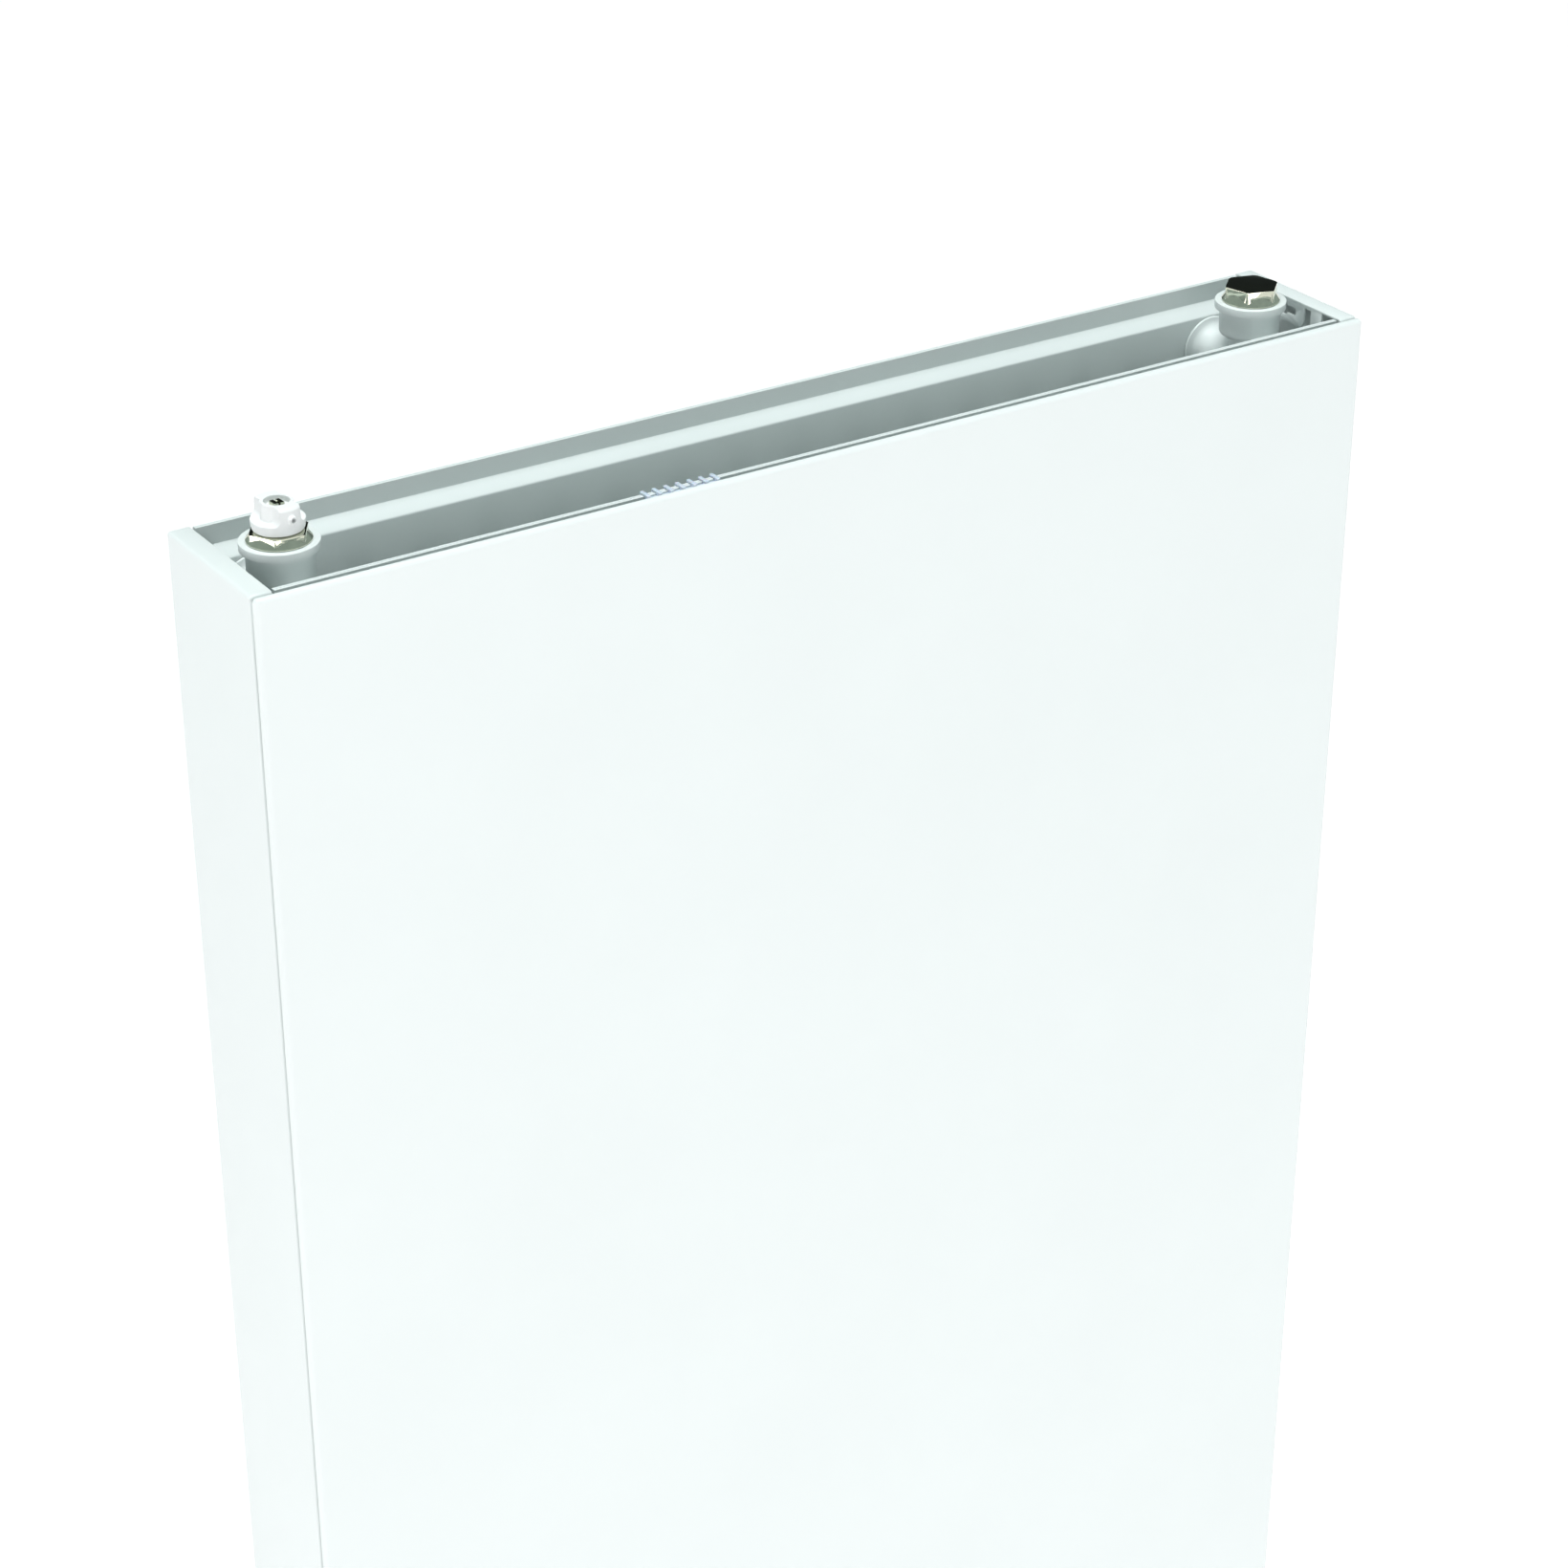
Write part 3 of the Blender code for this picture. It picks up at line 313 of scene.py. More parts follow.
def block(name, low, high):
    """A box between two corners, its place in its mesh."""
    deselect_all()
    centre = [(a + b) / 2 for a, b in zip(low, high)]
    size = [b - a for a, b in zip(low, high)]
    bpy.ops.mesh.primitive_cube_add(size=1, location=centre, scale=size)
    obj = bpy.context.object
    obj.name = name
    place_in_mesh(obj)
    return obj


def upright_plane(name, centre, width, height):
    """A plane that stands along X, open in edit mode."""
    deselect_all()
    bpy.ops.mesh.primitive_plane_add(size=1, location=centre, rotation=(pi / 2, 0, 0))
    bpy.context.object.scale = (width, height, 1)
    place_in_mesh(bpy.context.object)
    return begin(name)


def turned(name, centre, profile, along="Z", steps=64, ring=False):
    """A circle extruded through (radius, distance) pairs, then capped, or joined as a ring."""
    axis = "XYZ".index(along)
    tilt = {"X": (0, pi / 2, 0), "Y": (-pi / 2, 0, 0), "Z": (0, 0, 0)}[along]

    def at(distance):
        place = Vector(centre)
        place[axis] += distance
        return place

    deselect_all()
    radius, distance = profile[0]
    bpy.ops.mesh.primitive_circle_add(vertices=steps, radius=radius, location=at(distance), rotation=tilt)
    obj = begin(name)
    bpy.ops.mesh.select_all(action="SELECT")
    if not ring:
        bpy.ops.mesh.edge_face_add()
        pick("edges", lambda edge: True)
    for (radius, distance), (next_radius, next_distance) in zip(profile, profile[1:]):
        step = Vector((0, 0, 0))
        step[axis] = next_distance - distance
        bpy.ops.mesh.extrude_edges_move(TRANSFORM_OT_translate={"value": step})
        grow = [next_radius / radius] * 3
        grow[axis] = 1
        bpy.ops.transform.resize(value=grow, center_override=at(next_distance))
    if ring:
        mesh = bmesh.from_edit_mesh(obj.data)
        for edge in mesh.edges:
            if len(edge.link_faces) == 1:
                edge.select_set(True)
        bmesh.update_edit_mesh(obj.data)
        bpy.ops.mesh.bridge_edge_loops()
    else:
        bpy.ops.mesh.edge_face_add()
    bpy.ops.mesh.select_all(action="SELECT")
    bpy.ops.mesh.normals_make_consistent(inside=False)
    end()
    place_in_mesh(obj)
    return obj


def swing(obj, azimuth):
    """Turns a piece about the vent's axis."""
    there, back = Matrix.Translation(VENT_CENTRE), Matrix.Translation(-VENT_CENTRE)
    obj.matrix_world = there @ Matrix.Rotation(azimuth, 4, "Z") @ back
    place_in_mesh(obj)
    return obj


def join_pieces(obj, pieces):
    """Makes one object of a piece and what is welded to it."""
    deselect_all()
    for piece in pieces:
        piece.select_set(True)
    obj.select_set(True)
    bpy.context.view_layer.objects.active = obj
    bpy.ops.object.join()


def arc(centre, radius, start, stop, steps):
    """Points of an arc between two angles in degrees."""
    angles = [radians(start + (stop - start) * i / steps) for i in range(steps + 1)]
    return [(centre[0] + radius * cos(a), centre[1] + radius * sin(a)) for a in angles]


def finish(obj, finish_name, nodes=(), body=BODY, smooth=35):
    """Shades a finished piece, gives it its material and ties it to the frame."""
    place_in_mesh(obj)
    bpy.ops.object.shade_smooth_by_angle(angle=radians(smooth))
    obj.data.materials.clear()
    obj.data.materials.append(bpy.data.materials[finish_name])
    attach(obj, body)
    if nodes:
        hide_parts(*nodes)


# ---------------------------------------------------------------- finishes


class Look:
    """A new material with short ways to add its nodes."""

    def __init__(self, name):
        made = bpy.data.materials.new(name)
        made.use_nodes = True
        self.nodes = made.node_tree.nodes
        self.links = made.node_tree.links
        self.shader = self.nodes["Principled BSDF"]
        self.coords = self.nodes.new("ShaderNodeTexCoord").outputs["Object"]

    def set(self, **values):
        for name, value in values.items():
            self.shader.inputs[name.replace("_", " ").title().replace("Ior", "IOR")].default_value = value

    def noise(self, scale, detail=3.0, stretch=None):
        """Noise with this many cells in a metre."""
        node = self.nodes.new("ShaderNodeTexNoise")
        node.inputs["Scale"].default_value = scale
        node.inputs["Detail"].default_value = detail
        source = self.coords
        if stretch:
            mapping = self.nodes.new("ShaderNodeMapping")
            mapping.inputs["Scale"].default_value = stretch
            self.links.new(source, mapping.inputs["Vector"])
            source = mapping.outputs["Vector"]
        self.links.new(source, node.inputs["Vector"])
        return node.outputs["Fac"]

    def spread(self, value, low, high, start=0.3, stop=0.7):
        """Spreads a noise's middle over a range of numbers."""
        node = self.nodes.new("ShaderNodeMapRange")
        node.inputs["From Min"].default_value = start
        node.inputs["From Max"].default_value = stop
        node.inputs["To Min"].default_value = low
        node.inputs["To Max"].default_value = high
        self.links.new(value, node.inputs["Value"])
        return node.outputs["Result"]

    def blend(self, value, low, high):
        """Blends two colours by a noise."""
        node = self.nodes.new("ShaderNodeValToRGB")
        node.color_ramp.elements[0].position = 0.35
        node.color_ramp.elements[1].position = 0.65
        node.color_ramp.elements[0].color = (*low, 1)
        node.color_ramp.elements[1].color = (*high, 1)
        self.links.new(value, node.inputs["Fac"])
        return node.outputs["Color"]

    def bump(self, height, strength, distance, below=None):
        node = self.nodes.new("ShaderNodeBump")
        node.inputs["Strength"].default_value = strength
        node.inputs["Distance"].default_value = distance
        self.links.new(height, node.inputs["Height"])
        if below:
            self.links.new(below, node.inputs["Normal"])
        return node.outputs["Normal"]

    def use(self, **sources):
        for name, source in sources.items():
            self.links.new(source, self.shader.inputs[name.replace("_", " ").title()])


def shade(tone, amount):
    """A colour made darker or lighter."""
    return [min(1.0, part * amount) for part in tone]


def powder_coat(finish_values):
    """Satin white powder coat: a fine orange peel, with slight changes in gloss and tone."""
    look = Look("powder_coat")
    tone = finish_values.paint
    look.set(ior=1.5)
    look.use(base_color=look.blend(look.noise(9), shade(tone, 0.992), shade(tone, 1.006)))
    rough = finish_values.paint_roughness
    look.use(roughness=look.spread(look.noise(60), rough - 0.04, rough + 0.05))
    peel = look.bump(look.noise(420, 2), 0.20, 0.00006)
    look.use(normal=look.bump(look.noise(1500, 4), 0.22, 0.00002, peel))


def nickel(finish_values):
    """Bright nickel over turned brass, with faint rings, smears and handling marks."""
    look = Look("nickel_plate")
    tone = finish_values.nickel
    look.set(metallic=1.0)
    look.use(base_color=look.blend(look.noise(180), shade(tone, 0.93), shade(tone, 1.05)))
    rough = finish_values.nickel_roughness
    look.use(roughness=look.spread(look.noise(260, 5), rough * 0.7, rough * 1.9))
    rings = look.bump(look.noise(500, 2, (1, 1, 9)), 0.12, 0.00002)
    look.use(normal=look.bump(look.noise(2600, 3), 0.10, 0.00001, rings))


def white_plastic(finish_values):
    """Satin moulded plastic with a fine spark-eroded grain."""
    look = Look("white_plastic")
    tone = finish_values.plastic
    look.set(ior=1.49, subsurface_weight=0.06, subsurface_scale=0.002)
    look.use(base_color=look.blend(look.noise(150), shade(tone, 0.985), shade(tone, 1.01)))
    look.use(roughness=look.spread(look.noise(400), 0.32, 0.44))
    look.use(normal=look.bump(look.noise(3200, 3), 0.20, 0.00002))


def clip_plastic(finish_values):
    """Bluish plastic, a little translucent, with soft flow marks."""
    look = Look("clip_plastic")
    tone = finish_values.clip
    look.set(ior=1.47, subsurface_weight=0.10, subsurface_scale=0.002)
    look.use(base_color=look.blend(look.noise(240, 4, (1, 3, 3)), shade(tone, 0.95), shade(tone, 1.05)))
    look.use(roughness=look.spread(look.noise(500), 0.26, 0.40))
    look.use(normal=look.bump(look.noise(2400, 3), 0.15, 0.00002))


def rubber(finish_values):
    """Matte black rubber with a dusty bloom."""
    look = Look("seal_rubber")
    tone = finish_values.rubber
    look.use(base_color=look.blend(look.noise(700, 4), tone, shade(tone, 2.2)))
    look.use(roughness=look.spread(look.noise(900), 0.50, 0.75))
    look.use(normal=look.bump(look.noise(3600, 4), 0.35, 0.00002))


class RADIATOR_OT_finishes(bpy.types.Operator):
    """Makes the finishes"""

    bl_idname = "radiator.finishes"
    bl_label = "Finishes"

    def execute(self, context):
        values = context.scene.radiator_finish
        for make in (powder_coat, nickel, white_plastic, clip_plastic, rubber):
            make(values)
        return {"FINISHED"}


# ---------------------------------------------------------------- sheet steel


def open_tray(name, low, high, open_normal, radius, segments, gauge, raw_edge):
    """A folded tray: a box without one face, its outline edges rounded, given the sheet's thickness."""
    obj = block(name, low, high)
    bpy.ops.object.mode_set(mode="EDIT")
    pick("faces", lambda face: face.normal.dot(open_normal) > 0.9)
    bpy.ops.mesh.delete(type="FACE")
    pick("edges", lambda edge: len(edge.link_faces) == 2)
    bpy.ops.mesh.bevel(offset=radius, offset_type="OFFSET", segments=segments, profile=0.5)
    end()
    thicken(obj, gauge, -1)
    round_edges(obj, raw_edge, 2, 60)
    return obj


class RADIATOR_OT_front_plate(bpy.types.Operator):
    """Folds the flat front plate"""

    bl_idname = "radiator.front_plate"
    bl_label = "Front plate"

    def execute(self, context):
        sizes = context.scene.radiator_sheet
        towards_wall = Vector((0, 1, 0))
        plate = open_tray(
            "front_plate_skin", PLATE_LOW, PLATE_HIGH, towards_wall,
            sizes.plate_edge, 8, sizes.gauge, sizes.raw_edge,
        )
        finish(plate, "powder_coat", ["front_plate"])
        return {"FINISHED"}


def channel_middles(sizes, half_width):
    count = int((2 * half_width - sizes.channel_flat) / sizes.channel_pitch) + 1
    return [(i - (count - 1) / 2) * sizes.channel_pitch for i in range(count)]


def pressed_sheet(name, node, towards_wall, sizes):
    """A pressed sheet: a plane bisected at each fold, its headers and channels raised, folds rounded."""
    low, high = corners(node)
    seam_y = low.y if towards_wall else high.y
    outwards = 1 if towards_wall else -1
    rise = high.y - low.y - sizes.gauge
    height = high.z - low.z
    centre_z = (low.z + high.z) / 2
    half_width = high.x - sizes.side_seam - sizes.channel_slope
    middles = channel_middles(sizes, half_width)
    half, slope = sizes.channel_flat / 2, sizes.channel_slope
    sheet = upright_plane(name, (0, seam_y, centre_z), high.x - low.x, height)
    folds_x = [x + offset for x in middles for offset in (-half - slope, -half, half, half + slope)]
    folds_x += [side * (half_width + more) for side in (-1, 1) for more in (0, slope)]
    drops = [sizes.seam, sizes.seam + sizes.header_slope]
    drops += [drops[1] + sizes.header_flat, drops[1] + sizes.header_flat + sizes.header_slope]
    for x in folds_x:
        bpy.ops.mesh.select_all(action="SELECT")
        bpy.ops.mesh.bisect(plane_co=(x, 0, 0), plane_no=(1, 0, 0))
    for drop in drops:
        for z in (low.z + drop, high.z - drop):
            bpy.ops.mesh.select_all(action="SELECT")
            bpy.ops.mesh.bisect(plane_co=(0, 0, z), plane_no=(0, 0, 1))
    tiny = 0.00002

    def raised(vert):
        place = sheet.matrix_world @ vert.co
        inset = height / 2 - abs(place.z - centre_z)
        if abs(place.x) > half_width + tiny or inset < drops[1] - tiny:
            return False
        on_channel = any(abs(place.x - x) < half + tiny for x in middles)
        return inset < drops[2] + tiny or on_channel

    pick("verts", raised)
    bpy.ops.transform.translate(value=(0, outwards * rise, 0))
    bpy.ops.mesh.select_all(action="SELECT")
    bpy.ops.mesh.normals_make_consistent(inside=False)
    pick("faces", lambda face: True)
    facing = sum(face.normal.y for face in bmesh.from_edit_mesh(sheet.data).faces)
    if facing * outwards < 0:
        bpy.ops.mesh.flip_normals()
    end()
    round_edges(sheet, sizes.fold_radius, 3, 8)
    thicken(sheet, sizes.gauge, 1)
    return sheet


def seam_bars(front_node, back_node, sizes):
    """Bars that close the gap between a panel's two sheets all round, as the seam weld does."""
    low, high = corners(front_node)
    y_low, y_high = high.y - 0.0001, corners(back_node)[0].y + 0.0001
    edge = 0.00015
    tall, wide = sizes.seam - 0.001, sizes.side_seam - 0.0006
    bars = []
    for z in (low.z + edge, high.z - edge - tall):
        bars.append(block("seam_bar", (low.x + edge, y_low, z), (high.x - edge, y_high, z + tall)))
    for x in (low.x + edge, high.x - edge - wide):
        bars.append(block("seam_bar", (x, y_low, low.z + tall), (x + wide, y_high, high.z - tall)))
    return bars


class RADIATOR_OT_water_panels(bpy.types.Operator):
    """Presses the four sheets of the two water panels"""

    bl_idname = "radiator.water_panels"
    bl_label = "Water panels"

    def execute(self, context):
        sizes = context.scene.radiator_sheet
        for place in ("front", "rear"):
            order = ("outer", "inner") if place == "front" else ("inner", "outer")
            front_node, back_node = (f"{place}_panel_{side}_sheet" for side in order)
            for node in (front_node, back_node):
                sheet = pressed_sheet(node + "_skin", node, node == back_node, sizes)
                if node == front_node:
                    join_pieces(sheet, seam_bars(front_node, back_node, sizes))
                finish(sheet, "powder_coat", [node], smooth=50)
        return {"FINISHED"}


def slotted_lip(name, side, end_z, up, sheet, lip):
    """The lip under a cover's end flange, with a hook beside its slot and a keyhole."""
    inner = PLATE_HIGH.x - sheet.cover_flange
    near, far = sorted((side * (inner + 0.0002), side * (inner + 0.0002 + sheet.gauge)))

    def z(drop):
        return end_z - up * drop

    def box(label, depth_low, depth_high, drop_low, drop_high, margin=0.0):
        levels = sorted((z(drop_low), z(drop_high)))
        low = (near - margin, FRONT + depth_low, levels[0])
        return block(label, low, (far + margin, FRONT + depth_high, levels[1]))

    made = box(name, lip.front, lip.back, sheet.gauge / 2, lip.height)
    slot_back = lip.slot_front + lip.slot_width
    cutter = box("slot", lip.slot_front, slot_back, lip.slot_drop, lip.height + 2 * OVER, OVER)
    combine(made, cutter)
    select_only(made)
    bpy.ops.object.mode_set(mode="EDIT")
    corner = Vector((0, FRONT + slot_back, z(lip.height)))

    def at_hook(edge):
        gap = middle(edge, made) - corner
        return direction(edge, made)[0] > 0.9 and abs(gap.y) < 0.0001 and abs(gap.z) < 0.0001

    pick("edges", at_hook)
    bpy.ops.mesh.bevel(offset=lip.corner, segments=10, profile=0.5)
    end()
    hole_at = Vector(((near + far) / 2, FRONT + lip.hole_depth, z(lip.hole_drop)))
    reach = sheet.gauge + OVER
    round_end = [(lip.hole_radius, -reach), (lip.hole_radius, reach)]
    combine(made, turned("keyhole", hole_at, round_end, "X", 48))
    narrow_at = hole_at - Vector((0, lip.hole_reach, 0))
    narrow = turned("keyhole", narrow_at, [(lip.hole_slot, -reach), (lip.hole_slot, reach)], "X", 32)
    bridge = box(
        "keyhole", lip.hole_depth - lip.hole_reach, lip.hole_depth,
        lip.hole_drop - lip.hole_slot, lip.hole_drop + lip.hole_slot, OVER,
    )
    combine(narrow, bridge, "UNION")
    combine(made, narrow)
    round_edges(made, 0.00015, 2, 40)
    return made


def side_cover(side, sheet, lip):
    """A side cover: a tray that opens inwards, a lip at each end and tabs that hook the water panels."""
    node = "left_cover" if side < 0 else "right_cover"
    low, high = corners(node)
    inner = side * (PLATE_HIGH.x - sheet.cover_flange)
    if side < 0:
        high.x = inner
    else:
        low.x = inner
    cover = open_tray(
        node + "_skin", low, high, Vector((-side, 0, 0)), sheet.cover_edge, 4, sheet.gauge, sheet.raw_edge
    )
    pieces = [slotted_lip("lip", side, z, up, sheet, lip) for z, up in ((high.z, 1), (low.z, -1))]
    tabs = 4
    margin, tab_height, tab_reach = 0.2, 0.04, 0.005
    thin = sheet.gauge / 2 + 0.0002
    for index in range(tabs):
        z = low.z + margin + (high.z - low.z - 2 * margin) * index / (tabs - 1)
        tip, root = side * (abs(inner) - tab_reach), side * (abs(inner) + 0.001)
        for y_low in (low.y - 0.0002, high.y - sheet.gauge / 2):
            tab_low = (min(tip, root), y_low, z - tab_height / 2)
            tab = block("tab", tab_low, (max(tip, root), y_low + thin, z + tab_height / 2))
            round_edges(tab, 0.0002, 2)
            pieces.append(tab)
    join_pieces(cover, pieces)
    finish(cover, "powder_coat", [node])


class RADIATOR_OT_side_covers(bpy.types.Operator):
    """Folds the two side covers with their slotted lips"""

    bl_idname = "radiator.side_covers"
    bl_label = "Side covers"

    def execute(self, context):
        for side in (-1, 1):
            side_cover(side, context.scene.radiator_sheet, context.scene.radiator_lip)
        return {"FINISHED"}


# ---------------------------------------------------------------- tees


def weld_bead(name, points, radius, closed=True):
    """A bead along points, made from a curve."""
    curve = bpy.data.curves.new(name, "CURVE")
    curve.dimensions = "3D"
    curve.bevel_depth = radius
    curve.bevel_resolution = 3
    curve.use_fill_caps = not closed
    spline = curve.splines.new("POLY")
    spline.points.add(len(points) - 1)
    for point, place in zip(spline.points, points):
        point.co = (*place, 1)
    spline.use_cyclic_u = closed
    bead = bpy.data.objects.new(name, curve)
    bpy.context.scene.collection.objects.link(bead)
    select_only(bead)
    bpy.ops.object.convert(target="MESH")
    return bpy.context.object


def tee(node, up, sizes):
    """A tee: a cup with a collar on a stem, on a cross neck whose ends flare to the headers."""
    low, high = corners(node)
    x, y = (low.x + high.x) / 2, (low.y + high.y) / 2
    half = (high.y - low.y) / 2
    mouth = high.z if up > 0 else low.z
    axis_z = low.z + sizes.flare_radius if up > 0 else high.z - sizes.flare_radius
    neck_at = Vector((x, y, axis_z))
    waist = sizes.flare_radius - sizes.neck_radius
    rim = 0.0012
    bell = sizes.flare_length - rim
    flare = [(sizes.flare_radius, half), (sizes.flare_radius, half - rim)]
    for angle in range(15, 91, 15):
        turn = radians(angle)
        flare.append((sizes.neck_radius + waist * (1 - sin(turn)), half - rim - bell * (1 - cos(turn))))
    profile = [(radius, -distance) for radius, distance in flare] + list(reversed(flare))
    neck = turned(node + "_skin", neck_at, profile, "Y", 64)
    mouth_at = Vector((x, y, mouth))
    cup_edge = 0.0030
    cup = [(sizes.collar_radius, 0), (sizes.collar_radius, -sizes.collar_height)]
    cup += [(sizes.cup_radius, -sizes.collar_height - 0.0001)]
    bend = arc((sizes.cup_radius - cup_edge, cup_edge - sizes.cup_height), cup_edge, 0, -90, 6)
    cup += bend
    cup += [(sizes.stem_radius, -sizes.cup_height - 0.0001), (sizes.stem_radius, -abs(mouth - axis_z))]
    cup = [(radius, up * distance) for radius, distance in cup]
    combine(neck, turned("cup", mouth_at, cup), "UNION")
    bore = [(sizes.bore_radius, OVER), (sizes.bore_radius, -sizes.bore_depth)]
    bore += [(sizes.water_radius, -sizes.bore_depth), (sizes.water_radius, -abs(mouth - axis_z))]
    combine(neck, turned("bore", mouth_at, [(radius, up * d) for radius, d in bore]))
    way = [(sizes.water_radius, -half - OVER), (sizes.water_radius, half + OVER)]
    combine(neck, turned("way", neck_at, way, "Y", 48))
    round_edges(neck, 0.0004, 3, 50)
    turns = [radians(angle) for angle in range(0, 360, 6)]
    saddle = []
    for turn in turns:
        across, along = sizes.stem_radius * cos(turn), sizes.stem_radius * sin(turn)
        lift = sqrt(max(sizes.neck_radius**2 - across**2, 0))
        saddle.append((x + across, y + along, axis_z + up * lift))
    beads = [weld_bead("saddle_bead", saddle, sizes.bead)]
    for sign in (-1, 1):
        radius = sizes.flare_radius
        ring = [(x + radius * cos(t), y + sign * half, axis_z + radius * sin(t)) for t in turns]
        bead = weld_bead("neck_bead", ring, sizes.bead)
        cap_at = Vector((x, y + sign * (half + sizes.bead), axis_z))
        wide = radius + 2 * sizes.bead
        combine(bead, turned("trim", cap_at, [(wide, -sizes.bead * 0.999), (wide, sizes.bead)], "Y", 64))
        beads.append(bead)
    join_pieces(neck, beads)
    finish(neck, "powder_coat", [node], smooth=40)


class RADIATOR_OT_tees(bpy.types.Operator):
    """Makes the four corner tees"""

    bl_idname = "radiator.tees"
    bl_label = "Corner tees"

    def execute(self, context):
        for side in ("left", "right"):
            tee(f"upper_tee_{side}", 1, context.scene.radiator_fitting)
            tee(f"lower_tee_{side}", -1, context.scene.radiator_fitting)
        return {"FINISHED"}


# ---------------------------------------------------------------- fittings


def hexagon_head(centre, low, high, corner_azimuth, sizes):
    """A hexagon with soft corners, its top chamfered by a cone."""
    deselect_all()
    radius = sizes.across_flats / sqrt(3)
    bpy.ops.mesh.primitive_cylinder_add(
        vertices=6, radius=radius, depth=high - low, location=(centre[0], centre[1], (low + high) / 2),
        rotation=(0, 0, corner_azimuth - pi / 2),
    )
    head = bpy.context.object
    place_in_mesh(head)
    bpy.ops.object.mode_set(mode="EDIT")
    pick("edges", lambda edge: direction(edge, head)[2] > 0.9)
    bpy.ops.mesh.bevel(offset=0.0006, segments=4, profile=0.5)
    end()
    inside, past, lift = sizes.across_flats / 2 - 0.0002, 0.0015, 0.00025
    cone = [(inside - past, lift + 0.001), (radius + past, lift - 0.0012)]
    cone += [(radius + past, lift + low - high - 0.002)]
    shape = turned("cone", (centre[0], centre[1], high), cone, steps=96)
    combine(head, shape, "INTERSECT")
    return head


def threaded_shank(centre, top, bottom, radius, pitch):
    """A shank whose surface steps in and out at each turn of its thread."""
    depth = 0.0011
    profile = [(radius - depth, top)]
    z = top - pitch
    while z - pitch > bottom:
        profile += [(radius - depth, z), (radius, z - pitch * 0.4), (radius, z - pitch * 0.6)]
        z -= pitch
    profile += [(radius - depth, z), (radius - depth, bottom)]
    return turned("shank", (centre[0], centre[1], 0), profile, steps=64)


def hex_fitting(name, node, skirt_height, hex_height, corner_azimuth, sizes):
    """Flange with its conical top and seal groove, hexagon and threaded shank in one piece."""
    low, high = corners(node)
    tee_low, tee_high = corners("upper_tee_left" if low.x < 0 else "upper_tee_right")
    centre = Vector(((tee_low.x + tee_high.x) / 2, (tee_low.y + tee_high.y) / 2, 0))
    rim = sizes.flange_radius
    shank_radius = sizes.bore_radius - CLEARANCE
    flange = [(sizes.skirt_radius, FLANGE_EDGE + skirt_height), (rim - 0.0002, FLANGE_EDGE + 0.0001)]
    flange += [(rim, FLANGE_EDGE - 0.0001), (rim, FLANGE_UNDER + 0.0001), (rim - 0.0002, FLANGE_UNDER)]
    flange += [(sizes.groove_radius, FLANGE_UNDER), (sizes.groove_radius, GROOVE_TOP)]
    flange += [(shank_radius - 0.0002, GROOVE_TOP)]
    made = turned(name, centre, flange, steps=128)
    head_low = GROOVE_TOP - CLEARANCE / 2
    head = hexagon_head(centre, head_low, FLANGE_EDGE + hex_height, corner_azimuth, sizes)
    combine(made, head, "UNION")
    shank = threaded_shank(centre, GROOVE_TOP + 0.0006, low.z, shank_radius, sizes.thread_pitch)
    combine(made, shank, "UNION")
    return made, centre


class RADIATOR_OT_blind_plug(bpy.types.Operator):
    """Makes the hexagon plug in the right upper tee"""

    bl_idname = "radiator.blind_plug"
    bl_label = "Blind plug"

    corner_azimuth: angle("Corner azimuth", "Direction of one corner of the hexagon", -17)
    hollow_radius: length("Hollow radius", "Radius of the hollow in the shank", 0.0075)
    hollow_length: length("Hollow length", "Length of the hollow in the shank", 0.0090)

    def execute(self, context):
        sizes = context.scene.radiator_fitting
        plug, centre = hex_fitting(
            "blind_plug_body", "blind_plug", sizes.plug_skirt, sizes.plug_height, self.corner_azimuth, sizes
        )
        centre.z = corners("blind_plug")[0].z
        hollow = [(self.hollow_radius, -OVER), (self.hollow_radius, self.hollow_length)]
        combine(plug, turned("hollow", centre, hollow))
        round_edges(plug, 0.00012, 2, 40)
        finish(plug, "nickel_plate", ["blind_plug"], smooth=25)
        return {"FINISHED"}


class RADIATOR_OT_vent_bush(bpy.types.Operator):
    """Makes the hexagon bush that carries the air vent"""

    bl_idname = "radiator.vent_bush"
    bl_label = "Vent bush"

    corner_azimuth: angle("Corner azimuth", "Direction of one corner of the hexagon", -2)
    spigot_radius: length("Spigot radius", "Radius of the spigot inside the nozzle", 0.0059)
    groove_radius: length("Groove radius", "Radius of the seal's groove", 0.0049)
    screw_radius: length("Screw bore", "Radius of the bore for the vent screw", 0.0036)
    air_radius: length("Air bore", "Radius of the bore below the screw's seat", 0.0015)

    def execute(self, context):
        sizes = context.scene.radiator_fitting
        bush, centre = hex_fitting(
            "vent_bush_body", "vent_bush", sizes.bush_skirt, sizes.bush_height, self.corner_azimuth, sizes
        )
        low, high = corners("vent_bush")
        seal_low, seal_high = corners("vent_nozzle_seal")
        groove_low, groove_high = seal_low.z - CLEARANCE, seal_high.z + CLEARANCE
        spigot = [(self.spigot_radius, FLANGE_EDGE), (self.spigot_radius, groove_low)]
        spigot += [(self.groove_radius, groove_low), (self.groove_radius, groove_high)]
        spigot += [(self.spigot_radius, groove_high), (self.spigot_radius, high.z)]
        combine(bush, turned("spigot", centre, spigot), "UNION")
        seat = corners("vent_screw_tip")[0].z - CLEARANCE
        bore = [(self.screw_radius, high.z + OVER), (self.screw_radius, seat)]
        bore += [(self.air_radius, seat), (self.air_radius, low.z - OVER)]
        combine(bush, turned("bore", centre, bore, steps=48))
        round_edges(bush, 0.00012, 2, 40)
        finish(bush, "nickel_plate", ["vent_bush"], smooth=25)
        return {"FINISHED"}


